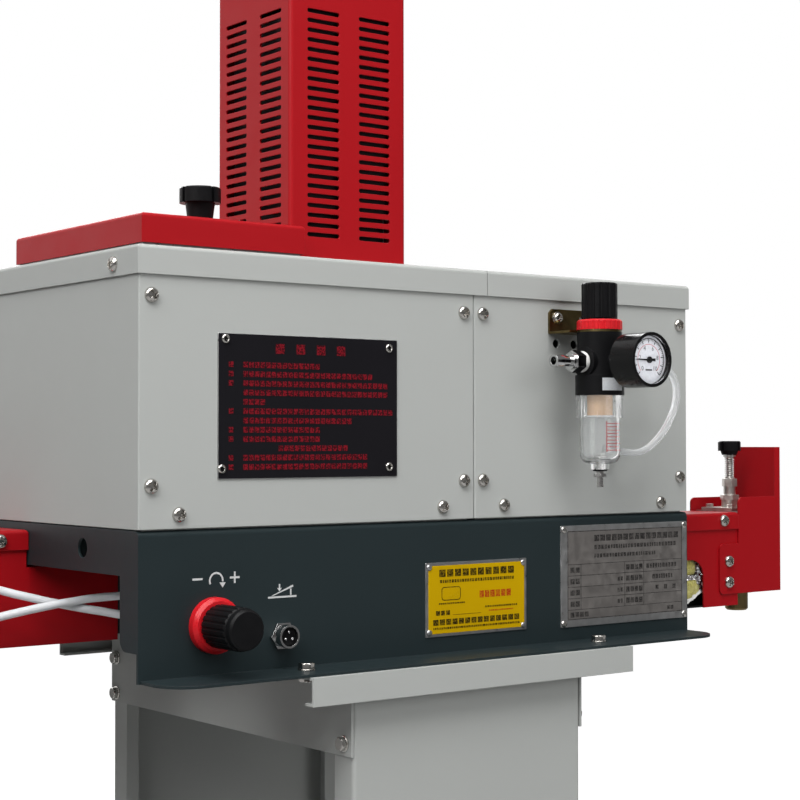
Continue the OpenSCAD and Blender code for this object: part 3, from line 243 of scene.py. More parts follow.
ZINC = metal("yellow_zinc", (0.145, 0.108, 0.045), 0.36, (60, 60, 60), 10, 0.08, 0.34)
FOIL = metal("foil", (0.86, 0.84, 0.85), 0.24, (200, 200, 200), 4, 0.9, 0.12)
CLEAR = clear("clear_plastic", (0.96, 0.97, 0.97), 0.05, 1.54, 0.93)
CLEAR_TUBE = clear("clear_tube", (0.90, 0.91, 0.92), 0.12, 1.42, 0.72)
LENS = clear("gauge_window", (0.99, 0.99, 0.99), 0.02, 1.12)
WHITE_TUBE = moulded("white_tube", (0.66, 0.67, 0.69), 0.34, 0.3, 0.05, 600, 0.03)
FILTER = moulded("sintered_filter", (0.74, 0.47, 0.27), 0.8, 0.2, 0.6, 2600, 0.16)
DIAL_WHITE = printed("dial_white", (0.58, 0.59, 0.63), 0.4)
INK_BLACK = printed("black_ink", (0.010, 0.010, 0.011))
INK_RED = stroked("red_ink", (0.20, 0.008, 0.015), (0.020, 0.003, 0.005))
INK_WHITE = printed("white_ink", (0.60, 0.61, 0.61))
SCALE_RED = printed("scale_red", (0.42, 0.05, 0.06))
PLATE_BLACK = painted("black_plate", (0.0100, 0.0094, 0.0114), 0.40, 0.05, 0.06, 500, 0.1)
PLATE_YELLOW = painted("yellow_plate", (0.52, 0.322, 0.0015), 0.40, 0.05, 0.05, 500, 0.04)
PLATE_INK = stroked("plate_ink", (0.016, 0.015, 0.015), (0.10, 0.093, 0.088))
PLATE_RIM = metal("polished_rim", (0.62, 0.62, 0.62), 0.34, (30, 200, 60), 6, 0.18, 0.14)
PLATE_RED_INK = stroked("plate_red_ink", (0.36, 0.022, 0.006), (0.46, 0.17, 0.004))
PLATE_BLACK_INK = stroked("plate_black_ink", (0.020, 0.014, 0.003), (0.20, 0.125, 0.002))
TAPE = moulded("thread_tape", (0.72, 0.72, 0.70), 0.6, 0.25, 0.4, 900, 0.04)
STICKER = printed("sticker_paper", (0.62, 0.64, 0.66), 0.5)
DISPLAY = moulded("display_window", (0.012, 0.004, 0.004), 0.12, 0.4, 0.02, 600)
KEY_GREY = moulded("rubber_keys", (0.16, 0.165, 0.17), 0.6, 0.25)
LAMP_RED = moulded("lamp_red", (0.45, 0.02, 0.02), 0.16, 0.5, 0.04, 500)
LAMP_GREEN = moulded("lamp_green", (0.02, 0.28, 0.05), 0.16, 0.5, 0.04, 500)
# Near black, as painted shade: it fills the bores of the hollow rivets, where the holes lie in shade
HOLE_SHADE = moulded("dark_gap", (0.004, 0.004, 0.004), 0.8, 0.1)


def make_wool():
    """Glass wool with strands of uneven colour."""
    look = Look("glass_wool", Roughness=0.9, Specular_IOR_Level=0.1, Sheen_Weight=0.4)
    strands = look.noise(26, 6, look.stretched(30, 30, 8), 0.7)
    look.feed("Base Color", look.ramp(strands, (0.3, (0.30, 0.26, 0.05)), (0.5, (0.52, 0.47, 0.11)),
                                      (0.72, (0.70, 0.66, 0.32))))
    look.bump(strands, 0.9, 0.0012)
    return look.mat


WOOL = make_wool()

FINISH = {
    GREY: ["feet", "beams", "leg_front", "leg_rear", "end_plates", "rails", "tank_cabinet", "control_cabinet",
           "tank_cabinet_lid", "control_cabinet_lid"],
    SLATE: ["base_tray"],
    RED: ["tank_lid", "motor_tower", "valve_box", "valve_lid", "valve_shield", "arm_box", "arm_lid"],
    MOTOR: ["gear_motor"],
    BLACK: ["lid_knob", "valve_knob", "solenoid_valve", "frl_body", "frl_knob", "regulator_knob", "socket_insert",
            "panel_instruments", "speed_dial", "cable_gland", "gauge_pointer"],
    GLOSS_BLACK: ["gauge_case"],
    RED_PLASTIC: ["frl_nut", "regulator_nut", "power_rocker"],
    RUBBER: ["foot_pads"],
    STEEL: ["lid_hinge", "drive_shaft", "valve_spindle", "valve_spring", "frl_drain", "regulator_body"],
    SATIN_STEEL: ["valve_bonnet", "valve_washer"],
    CHROME: ["push_fittings", "frl_inlet", "foot_socket"],
    ALUMINIUM: ["tank", "valve_block", "gun_block", "gun_cylinder"],
    BRASS: ["valve_outlet", "gun_nozzle"],
    ZINC: ["frl_bracket"],
    CLEAR: ["frl_bowl"],
    CLEAR_TUBE: ["frl_tube"],
    LENS: ["gauge_lens"],
    WHITE_TUBE: ["air_tube_open", "air_tube_close"],
    WOOL: ["valve_wool"],
    FILTER: ["frl_element"],
}
for finish, names in FINISH.items():
    for name in names:
        nodes[name].data.materials.clear()
        nodes[name].data.materials.append(finish)

# Cords


def smooth_route(points, steps=6):
    """Points along a smooth curve through the route's points."""
    full = [points[0] * 2 - points[1], *points, points[-1] * 2 - points[-2]]
    out = []
    for a, b, c, d in zip(full, full[1:], full[2:], full[3:]):
        for k in range(steps):
            t = k / steps
            out.append(0.5 * (2 * b + (c - a) * t + (2 * a - 5 * b + 4 * c - d) * t ** 2
                              + (3 * b - a - 3 * c + d) * t ** 3))
    return out + [points[-1]]


def make_cord(name, node, route, diameter, finish):
    line = smooth_route([at(*p) for p in route])
    data = bpy.data.curves.new(name, "CURVE")
    data.dimensions = "3D"
    data.bevel_depth = diameter / 2
    data.bevel_resolution = 6
    data.use_fill_caps = True
    spline = data.splines.new("POLY")
    spline.points.add(len(line) - 1)
    for point, place in zip(spline.points, line):
        point.co = (*place, 1.0)
    spline.use_smooth = True
    data.materials.append(finish)
    piece = bpy.data.objects.new(name, data)
    bpy.context.scene.collection.objects.link(piece)
    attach(piece, "root")
    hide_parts(node)


ROUTE_OPEN = [
    (60, 98, -51), (54, 98, -51), (48, 99.5, -51.5), (42, 103, -52), (33, 110, -53), (23, 115, -54),
    (13, 118, -55.5), (2, 121.5, -57), (-6, 127, -59), (-13, 133, -61), (-22, 139.5, -63.5),
    (-31, 145, -66), (-42, 148.5, -69), (-52, 150, -71), (-58, 150, -72), (-64, 150, -72),
]
ROUTE_CLOSE = [
    (60, 98, -66), (54, 98, -66), (48, 99.5, -66), (42, 103.5, -65.5), (33, 111, -63.5),
    (23, 117, -61.5), (14, 123, -59.5), (6, 129, -57.5), (-4, 132.5, -55), (-13, 136, -52.5),
    (-22, 140.5, -50), (-30, 145, -47.5), (-41, 148.5, -44), (-52, 150, -41), (-58, 150, -40),
    (-64, 150, -40),
]
ROUTE_FRL = [
    (428, -36.6, 122.5), (434, -36.6, 122.5), (442, -36.6, 122.5), (451, -36.6, 122),
    (460, -36.6, 121), (468, -36.6, 118.5), (474, -36.6, 114), (477.7, -36.6, 107),
    (479, -36.6, 99.5), (478.1, -36.2, 92), (475.5, -35.8, 84), (471.1, -35, 75.5),
    (466, -34, 68), (459.6, -32, 60.6), (453, -29.5, 55), (446.5, -26, 51.5),
    (440.5, -21, 51), (437, -15.5, 51.8), (436, -11, 52), (436, -8, 52),
]
make_cord("open_air_line", "air_tube_open", ROUTE_OPEN, 0.006, WHITE_TUBE)
make_cord("close_air_line", "air_tube_close", ROUTE_CLOSE, 0.006, WHITE_TUBE)
make_cord("filter_air_line", "frl_tube", ROUTE_FRL, 0.006, CLEAR_TUBE)

# Mesh building


class Shape:
    """Collects pieces of mesh, given in millimetres, into one object."""

    def __init__(self):
        self.points, self.faces, self.finish, self.smooth = [], [], [], []

    def add(self, part, place, finish=0, smooth=True):
        points, faces = part
        start = len(self.points)
        self.points += [place @ Vector(p) for p in points]
        self.faces += [[start + i for i in face] for face in faces]
        self.finish += [finish] * len(faces)
        self.smooth += [smooth] * len(faces)

    def make(self, name, finishes, body="root", replaced=(), sharp=38):
        mesh = bpy.data.meshes.new(name)
        mesh.from_pydata(self.points, [], self.faces)
        for finish in finishes:
            mesh.materials.append(finish)
        mesh.polygons.foreach_set("material_index", self.finish)
        mesh.polygons.foreach_set("use_smooth", self.smooth)
        mesh.update()
        if any(self.smooth):
            mesh.set_sharp_from_angle(angle=math.radians(sharp))
        piece = bpy.data.objects.new(name, mesh)
        bpy.context.scene.collection.objects.link(piece)
        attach(piece, body)
        if replaced:
            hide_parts(*replaced)
        return piece


def facing(u, v, w, x, y, z, turn=0.0):
    """Places a part so that its own x, y and z run along u, v and w at a point of the drawing."""
    base = Matrix((Vector(u), Vector(v), Vector(w))).transposed().to_4x4()
    spin = Matrix.Rotation(math.radians(turn), 4, "Z")
    return Matrix.Translation(at(x, y, z)) @ base @ spin @ Matrix.Scale(MM, 4)


def front(x, z, y=0.0, turn=0.0):
    return facing((1, 0, 0), (0, 0, 1), (0, -1, 0), x, y, z, turn)


def rear(x, z, y=CAB_D, turn=0.0):
    return facing((-1, 0, 0), (0, 0, 1), (0, 1, 0), x, y, z, turn)


def left(y, z, x, turn=0.0):
    return facing((0, -1, 0), (0, 0, 1), (-1, 0, 0), x, y, z, turn)


def right(y, z, x, turn=0.0):
    return facing((0, 1, 0), (0, 0, 1), (1, 0, 0), x, y, z, turn)


def top(x, y, z, turn=0.0):
    return facing((1, 0, 0), (0, 1, 0), (0, 0, 1), x, y, z, turn)


def under(x, y, z, turn=0.0):
    return facing((1, 0, 0), (0, -1, 0), (0, 0, -1), x, y, z, turn)


def rings(layers):
    """A closed skin through rings of equal length, from the lowest up, with both ends filled."""
    count = len(layers[0])
    points = [p for layer in layers for p in layer]
    faces = [[i * count + k, i * count + (k + 1) % count, (i + 1) * count + (k + 1) % count, (i + 1) * count + k]
             for i in range(len(layers) - 1) for k in range(count)]
    faces.append(list(range(count - 1, -1, -1)))
    faces.append([(len(layers) - 1) * count + k for k in range(count)])
    return points, faces


def lathe(profile, count=32):
    """Turns a profile of (radius, height) pairs about the z axis."""
    return rings([[(r * math.cos(k * math.tau / count), r * math.sin(k * math.tau / count), h)
                   for k in range(count)] for r, h in profile])


def round_outline(w, h, r, steps=5):
    out = []
    for cx, cy, start in ((w / 2 - r, h / 2 - r, 0), (r - w / 2, h / 2 - r, 90), (r - w / 2, r - h / 2, 180),
                          (w / 2 - r, r - h / 2, 270)):
        for k in range(steps + 1):
            a = math.radians(start + 90 * k / steps)
            out.append((cx + r * math.cos(a), cy + r * math.sin(a)))
    return out


def plate(w, h, t, r=2.0, edge=0.25):
    """A thin plate about the origin with round corners and eased edges."""
    low, high = round_outline(w, h, r), round_outline(w - 2 * edge, h - 2 * edge, max(r - edge, 0.05))
    return rings([[(x, y, 0) for x, y in low], [(x, y, t - edge) for x, y in low], [(x, y, t) for x, y in high]])


def bar(x0, y0, x1, y1, t=0.06):
    """A printed bar, just thick enough to be a solid."""
    corners = ((x0, y0), (x1, y0), (x1, y1), (x0, y1))
    return rings([[(x, y, 0) for x, y in corners], [(x, y, t) for x, y in corners]])


def hexagon(af, h, chamfer=0.5, steps=4):
    """A hexagon head whose top corners are turned off."""
    count = 6 * steps

    def side(k):
        a = (k % steps) * 60 / steps - 30
        return af / 2 / math.cos(math.radians(a))

    def ring(radius, z):
        return [(radius(k) * math.cos(k * math.tau / count), radius(k) * math.sin(k * math.tau / count), z)
                for k in range(count)]
    return rings([ring(side, 0), ring(side, h - chamfer), ring(lambda k: af / 2 * 0.97, h)])


def pan_head(d, h):
    """A pan head with a cross recess, as a relief on a round grid."""
    count, reach = 56, d / 2
    steps = [0.06, 0.13, 0.2, 0.27, 0.34, 0.41, 0.48, 0.54, 0.6, 0.68, 0.76, 0.84, 0.91, 0.96, 0.99, 1.0]
    arm, recess, depth = 0.088 * d, 0.64 * reach, 0.62 * h
    layers = []
    for s in [1.0] + steps[::-1]:
        layer = []
        for k in range(count):
            a = k * math.tau / count
            x, y = reach * s * math.cos(a), reach * s * math.sin(a)
            z = h * (1 - s ** 3.2) ** 0.5
            inside = min(abs(x), abs(y)) < arm and math.hypot(x, y) < recess
            core = math.hypot(x, y) < recess * 0.5
            z -= depth if inside else (depth * 0.55 if core else 0)
            layer.append((x, y, 0 if not layers else z))
        layers.append(layer)
    return rings(layers)


def hollow_rivet(d, h):
    r = d / 2
    return lathe([(r, 0), (r, h * 0.3), (r * 0.92, h * 0.75), (r * 0.74, h), (r * 0.56, h * 0.92),
                  (r * 0.46, h * 0.6), (r * 0.44, 0.15), (0.05, 0.12)], 28)


def drive_rivet(d, h):
    r = d / 2
    return lathe([(r, 0), (r * 0.97, h * 0.35), (r * 0.8, h * 0.75), (r * 0.5, h * 0.96), (0.05, h)], 28)


def washer(d, bore, t):
    return lathe([(d / 2, 0), (d / 2, t - 0.15), (d / 2 - 0.2, t), (bore / 2, t)], 32)


# Screws on the cabinets, the lids, the valve and the gun arm

screws = Shape()
HEAD = pan_head(10.8, 3.5)
for x, z in [(9.8, 159), (9.8, 30), (283, 159), (283, 30), (302, 159), (302, 30), (521, 159), (521, 30),
             (31.5, 10.4), (262, 10.4), (323.5, 10.4), (498, 8.8)]:
    screws.add(HEAD, front(x, z, 0.0, draw.uniform(0, 90)))
    screws.add(HEAD, rear(x, z, CAB_D, draw.uniform(0, 90)))
for y in (31.7, CAB_D - 31.7):
    screws.add(HEAD, left(y, 181.5, -1.8, draw.uniform(0, 90)))
    screws.add(HEAD, right(y, 181.5, 531.8, draw.uniform(0, 90)))
screws.make("cabinet_screws", [NICKEL])

valve_screws = Shape()
for x, z, y in ((604.7, -10.6, 25.2), (611.2, -46.8, 25.5), (611.2, -65.3, 25.5)):
    valve_screws.add(HEAD, front(x, z, y, draw.uniform(0, 90)))
for x, z in ((550, -10.6), (604.7, -10.6)):
    valve_screws.add(HEAD, rear(x, z, 78.8, draw.uniform(0, 90)))
valve_screws.make("valve_screws", [NICKEL])

arm_screws = Shape()
for x in (-23, -102):
    arm_screws.add(HEAD, front(x, -13, 164.2, draw.uniform(0, 90)))
    arm_screws.add(HEAD, rear(x, -13, 227.8, draw.uniform(0, 90)))
arm_screws.make("arm_screws", [NICKEL])

bracket_screw = Shape()
bracket_screw.add(washer(10, 4, 0.8), front(378.5, 159, -2.0))
bracket_screw.add(pan_head(9.0, 3.2), front(378.5, 159, -2.8, 20))
bracket_screw.make("bracket_screw", [NICKEL])

# Bolts of the stand

bolts = Shape()
for x in (123.3, 406.7):
    for y in (-19.0, CAB_D + 19):
        bolts.add(washer(12.5, 5, 1.0), top(x, y, -100))
        bolts.add(hexagon(10, 4.2), top(x, y, -99, draw.uniform(0, 60)))
        bolts.add(hexagon(10, 4.0), under(x, y, -104, draw.uniform(0, 60)))
END_LEFT, END_RIGHT = 265 - 219 / 2 - 2, 265 + 219 / 2 + 2
for y, levels in ((-22.0, (-117.5, -154)), (CAB_D + 22, (-125.5, -155.5))):
    for z in levels:
        for place in (left(y, z, END_LEFT, draw.uniform(0, 60)), right(y, z, END_RIGHT, draw.uniform(0, 60))):
            bolts.add(washer(11.5, 5, 0.9), place)
            bolts.add(hexagon(9, 4.0), place @ Matrix.Translation((0, 0, 0.9)))
bolts.make("stand_bolts", [NICKEL])

# Instruction plate: a metal sheet with a black face and plain red bars


def bar_row(shape, place, x0, x1, y, h, finish, low, high, gap):
    """A row of bars of uneven length."""
    x = x0
    while x < x1 - 1:
        end = min(x + draw.uniform(low, high), x1)
        shape.add(bar(x, y - h / 2, end, y + h / 2, 0.06), place, finish, False)
        x = end + gap


def cell_row(shape, place, x0, x1, y, h, finish, pitch, gap=0.9):
    """A row of square bars, evenly spaced."""
    for k in range(max(1, round((x1 - x0 + gap) / pitch))):
        x = x0 + k * pitch
        shape.add(bar(x, y - h / 2, x + pitch - gap, y + h / 2, 0.06), place, finish, False)


SIGN = (139.7, 84.75)
SIGN_ROW_TOP, SIGN_ROW_PITCH = 29.1, 6.5
sign = Shape()
sign.add(plate(156, 101.5, 0.9, 0.8, 0.2), front(*SIGN), 3)
sign.add(plate(155.2, 100.7, 0.1, 0.6, 0.04), front(*SIGN, -0.9))
face = front(*SIGN, -1.0)
cell_row(sign, face, -30.4, 32, 41.0, 7.0, 1, 17.7, 10.3)
SIGN_ROWS = [(-57.4, 7, 1), (-57.4, 53, 1), (-57.4, 68, 1), (-57.4, 68, 0), (-57.4, -40, 0), (-57.4, 72, 1),
             (-57.4, 38, 0), (-57.4, 6, 1), (-57.4, 9, 1), (-28.0, 32, 0), (-57.4, 48, 1), (-57.4, 51, 1)]
for row, (start, stop, numbered) in enumerate(SIGN_ROWS):
    cell_row(sign, face, start, stop, SIGN_ROW_TOP - SIGN_ROW_PITCH * row, 4.0, 1, 4.7)
    if numbered:
        cell_row(sign, face, -69.4, -65.5, SIGN_ROW_TOP - SIGN_ROW_PITCH * row, 3.8, 1, 4.7)
for x, z in ((67.8, 131.4), (210.0, 129.2), (210.0, 41.4), (64.8, 41.2)):
    sign.add(hollow_rivet(6.6, 1.3), front(x, z, -1.0), 2)
    # A near black disc in each rivet's bore is painted shade for the hole
    sign.add(lathe([(1.38, 0.1), (1.38, 0.4), (1.1, 0.5), (0.05, 0.5)], 24), front(x, z, -1.0), 4)
sign.make("instruction_plate", [PLATE_BLACK, INK_RED, NICKEL, ALUMINIUM, HOLE_SHADE])

# Yellow plate with a bare metal edge

YELLOW = (295.3, -59.6)
yellow = Shape()
yellow.add(plate(101.4, 56.2, 0.8, 0.8), front(*YELLOW))
yellow.add(plate(96.6, 51.4, 0.1, 0.6, 0.04), front(*YELLOW, -0.8), 1)
face = front(*YELLOW, -0.9)
cell_row(yellow, face, -37.7, 38.8, 19.8, 5.6, 3, 7.65, 1.4)
bar_row(yellow, face, -37, 38, 13.6, 2.4, 3, 1.2, 2.4, 0.6)
yellow.add(plate(19, 10.4, 0.05, 2.6, 0.02), face @ Matrix.Translation((-26, 4.2, 0)), 3)
yellow.add(plate(17.6, 9.0, 0.08, 2.0, 0.02), face @ Matrix.Translation((-26, 4.2, 0)), 1)
bar_row(yellow, face, -38, -12, -3.2, 1.2, 3, 1.0, 2.0, 0.5)
cell_row(yellow, face, 2.1, 35.2, 2.2, 5.4, 2, 5.5, 1.0)
bar_row(yellow, face, 7.7, 40.6, -7.6, 1.4, 3, 1.0, 2.0, 0.5)
bar_row(yellow, face, 11.6, 36.5, -10.8, 1.1, 2, 1.0, 2.0, 0.5)
cell_row(yellow, face, -40.9, -26.7, -10.2, 3.6, 3, 4.9, 1.0)
yellow.add(bar(-24.4, -12.3, 3.6, -11.9), face, 3, False)
cell_row(yellow, face, -43.6, 43.2, -17.2, 4.4, 3, 6.25, 1.1)
bar_row(yellow, face, -43.6, 43.2, -21.8, 1.6, 3, 1.0, 2.2, 0.5)
for x in (-47.2, 47.2):
    for z in (-24.6, 24.6):
        yellow.add(drive_rivet(4.8, 1.2), front(YELLOW[0] + x, YELLOW[1] + z, -0.8), 0)
yellow.make("yellow_plate", [ALUMINIUM, PLATE_YELLOW, PLATE_RED_INK, PLATE_BLACK_INK])

# Name plate: a polished rim around a brushed field with a ruled table and plain bars

table = Shape()
NAME_W, NAME_H = 145.9, 81.6
NAME_AT = (455.75, -48.5)
table.add(plate(NAME_W, NAME_H, 0.9, 1.0), front(*NAME_AT))
FIELD_LEFT, FIELD_RIGHT = 7.2 - NAME_W / 2, NAME_W / 2 - 6.2
FIELD_LOW, FIELD_HIGH = 5.8 - NAME_H / 2, NAME_H / 2 - 4.4
RULE = 0.7
table.add(plate(FIELD_RIGHT - FIELD_LEFT, FIELD_HIGH - FIELD_LOW, 0.1, 0.5, 0.04),
          front(NAME_AT[0] + (FIELD_LEFT + FIELD_RIGHT) / 2, NAME_AT[1] + (FIELD_LOW + FIELD_HIGH) / 2, -0.9), 3)
face = front(*NAME_AT, -1.0)
for x0, y0, x1, y1 in ((FIELD_LEFT, FIELD_HIGH - RULE, FIELD_RIGHT, FIELD_HIGH),
                       (FIELD_LEFT, FIELD_LOW, FIELD_RIGHT, FIELD_LOW + RULE),
                       (FIELD_LEFT, FIELD_LOW + RULE, FIELD_LEFT + RULE, FIELD_HIGH - RULE),
                       (FIELD_RIGHT - RULE, FIELD_LOW + RULE, FIELD_RIGHT, FIELD_HIGH - RULE)):
    table.add(bar(x0, y0, x1, y1, 0.07), face, 1, False)
rows = [9.4 - 9.1 * k for k in range(5)]
for y in rows:
    table.add(bar(FIELD_LEFT + RULE, y - 0.25, FIELD_RIGHT - RULE, y + 0.25), face, 1, False)
for x in (-51.0, -1.5, 20.8):
    table.add(bar(x - 0.25, rows[-1] + 0.25, x + 0.25, rows[0] - 0.25), face, 1, False)
cell_row(table, face, -35.9, 63.0, 30.0, 5.2, 1, 6.6, 1.0)
bar_row(table, face, -35.9, 60, 22.6, 3.4, 1, 1.6, 3.2, 0.8)
bar_row(table, face, -35.9, 34.7, 15.6, 3.2, 1, 1.6, 3.2, 0.8)
for k in range(4):
    y = (rows[k] + rows[k + 1]) / 2
    cell_row(table, face, -62.6, -52.4, y, 4.4, 1, 5.6, 1.0)
    cell_row(table, face, 0.2, 19.6, y, 4.4, 1, 5.0, 0.9)
    if k:
        cell_row(table, face, -9.6, -3.6, y, 3.4, 1, 3.4, 0.9)
bar_row(table, face, 24, 61, (rows[0] + rows[1]) / 2, 3.8, 1, 1.6, 3.2, 0.8)
bar_row(table, face, 31, 55, (rows[1] + rows[2]) / 2, 3.8, 1, 1.6, 3.2, 0.8)
cell_row(table, face, 34.6, 58, (rows[2] + rows[3]) / 2, 3.8, 1, 10.2, 6.4)
cell_row(table, face, -62.6, -42, (rows[4] + FIELD_LOW) / 2, 4.2, 1, 5.2, 0.9)
cell_row(table, face, 48.5, 56, (rows[4] + FIELD_LOW) / 2, 3.2, 1, 4.2, 0.9)
for x in (-1, 1):
    for z in (-1, 1):
        table.add(drive_rivet(5.8, 1.5),
                  front(NAME_AT[0] + x * (NAME_W / 2 - 3.4), NAME_AT[1] + z * (NAME_H / 2 - 3.2), -0.9), 2)
table.make("name_plate", [PLATE_RIM, PLATE_INK, NICKEL, PLATE_METAL])

# Bright pins in the foot switch socket

SOCKET_X, SOCKET_Z = 115.5, -77.0
pins = Shape()
for a in (90, 210, 330):
    place = front(SOCKET_X + 3.2 * math.cos(math.radians(a)), SOCKET_Z + 3.2 * math.sin(math.radians(a)), -6.0)
    pins.add(lathe([(1.05, 0), (1.05, 2.6), (0.8, 3.1), (0.4, 3.3), (0.05, 3.35)], 16), place)
pins.make("socket_pins", [CHROME])

# White pictograms on the base: a turning arrow with more and less, and a pedal


def arc(cx, cy, r, start, stop, w, steps=18):
    """A thin bent band."""
    low, high = [], []
    for k in range(steps + 1):
        a = math.radians(start + (stop - start) * k / steps)
        low.append((cx + (r - w / 2) * math.cos(a), cy + (r - w / 2) * math.sin(a)))
        high.append((cx + (r + w / 2) * math.cos(a), cy + (r + w / 2) * math.sin(a)))
    return flat(low + high[::-1])


def flat(outline, t=0.06):
    """A thin printed form."""
    return rings([[(x, y, 0) for x, y in outline], [(x, y, t) for x, y in outline]])


marks = Shape()
face = front(61, -34)
marks.add(bar(-19, -0.7, -11, 0.7), face, 0, False)
marks.add(bar(11, -0.7, 19, 0.7), face, 0, False)
marks.add(bar(14.3, 0.7, 15.7, 4.0), face, 0, False)
marks.add(bar(14.3, -4.0, 15.7, -0.7), face, 0, False)
marks.add(arc(0, -1.5, 5.2, 205, -10, 1.3), face, 0, False)
marks.add(flat([(2.6, -3.0), (7.6, -3.0), (5.1, -6.6)]), face, 0, False)
face = front(115.6, -45.5)
marks.add(bar(-12, -4.8, 12, -3.5), face, 0, False)
marks.add(flat([(-9.5, -3.2), (-8.0, -3.2), (9.5, 2.6), (9.0, 4.0)]), face, 0, False)
marks.add(bar(6.6, -3.2, 7.8, 1.4), face, 0, False)
marks.add(flat([(-3.0, 5.0), (-1.8, 5.0), (-1.8, 2.2), (-0.4, 2.2), (-2.4, -0.2), (-4.4, 2.2), (-3.0, 2.2)]),
          face, 0, False)
marks.make("base_marks", [INK_WHITE])

# Gauge dial with a scale from 0 to 10, swept from lower left to lower right

FRL_X, FRL_Y, GAUGE_Z, DIAL_Y = 392.0, -36.6, 122.5, -89.6
PORT_X, BODY_FOOT, BOWL_FOOT = FRL_X - 17.8, 96.4, 42.4


def figures(text, size):
    """Printed figures as a mesh."""
    data = bpy.data.curves.new("figure", "FONT")
    data.body = text
    data.size = size
    data.align_x = "CENTER"
    data.align_y = "CENTER"
    data.extrude = 0.03
    data.resolution_u = 2
    thing = bpy.data.objects.new("figure", data)
    bpy.context.scene.collection.objects.link(thing)
    mesh = bpy.data.meshes.new_from_object(thing.evaluated_get(bpy.context.evaluated_depsgraph_get()))
    part = [tuple(v.co) for v in mesh.vertices], [list(p.vertices) for p in mesh.polygons]
    bpy.data.objects.remove(thing)
    bpy.data.meshes.remove(mesh)
    return part


dial = Shape()
dial.add(lathe([(18.6, 0.0), (18.6, 0.25), (18.4, 0.35), (1.2, 0.35)], 64), front(FRL_X, GAUGE_Z, DIAL_Y))
face = front(FRL_X, GAUGE_Z, DIAL_Y - 0.35)
dial.add(arc(0, 0, 16.4, 225, -45, 0.7, 60), face, 1, False)
dial.add(arc(0, 0, 11.9, 225, -45, 0.4, 60), face, 2, False)
for k in range(51):
    turn = Matrix.Rotation(math.radians(225 - 270 * k / 50), 4, "Z")
    start, half = (13.2, 0.4) if k % 5 == 0 else (14.7, 0.22)
    dial.add(bar(start, -half, 16.2, half), face @ turn, 1, False)
for k in range(0, 11, 2):
    a = math.radians(225 - 27 * k)
    place = face @ Matrix.Translation((9.6 * math.cos(a), 9.6 * math.sin(a), 0.03))
    dial.add(figures(str(k), 5.0), place, 1, False)
dial.add(bar(-3.5, -8.4, 3.5, -7.2), face, 1, False)
dial.make("gauge_dial", [DIAL_WHITE, INK_BLACK, SCALE_RED])

# Small things on the filter regulator

tape = Shape()
tape.add(lathe([(6.6, 0), (8.0, 0.3), (8.3, 1.2), (7.9, 2.1), (8.3, 3.0), (8.0, 3.8), (6.6, 4.0)], 36),
         left(FRL_Y, GAUGE_Z, PORT_X))
tape.make("thread_tape", [TAPE])


def bent_patch(r, a0, a1, z0, z1, t, steps=14):
    """A thin patch that lies on an upright cylinder."""
    inner, outer = [], []
    for k in range(steps + 1):
        a = math.radians(a0 + (a1 - a0) * k / steps)
        inner.append((r * math.cos(a), r * math.sin(a)))
        outer.append(((r + t) * math.cos(a), (r + t) * math.sin(a)))
    outline = inner + outer[::-1]
    return rings([[(x, y, z0) for x, y in outline[::-1]], [(x, y, z1) for x, y in outline[::-1]]])


sticker = Shape()
sticker.add(bent_patch(19.35, -128, -72, BODY_FOOT + 3.5, BODY_FOOT + 13.3, 0.15), top(FRL_X, FRL_Y, 0))
sticker.make("blank_sticker", [STICKER])

bowl_marks = Shape()
for k in range(9):
    z = 53 + 2.6 * k
    bowl_marks.add(bent_patch(15.9, -116, -66 if k % 2 else -50, z, z + 0.55, 0.06), top(FRL_X, FRL_Y, 0))
for a in (-116, -84):
    bowl_marks.add(bent_patch(15.9, a, a + 2.5, 52, 76, 0.06, 3), top(FRL_X, FRL_Y, 0))
bowl_marks.make("bowl_scale", [SCALE_RED])

baffle = Shape()
baffle.add(lathe([(11.0, 0), (12.6, 0.2), (12.6, 1.3), (12.2, 1.6), (10.05, 1.6)], 40),
           top(FRL_X, FRL_Y, BODY_FOOT - 17.4))
baffle.make("filter_baffle", [WHITE_TUBE])

seal_ring = Shape()
seal_ring.add(lathe([(3.2, 0), (5.4, 0.1), (5.8, 0.7), (5.4, 1.3), (3.2, 1.4)], 32),
              top(FRL_X, FRL_Y, BOWL_FOOT - 5.8))
seal_ring.make("drain_seal", [RUBBER])

# Glass wool and foil behind the valve box's notch


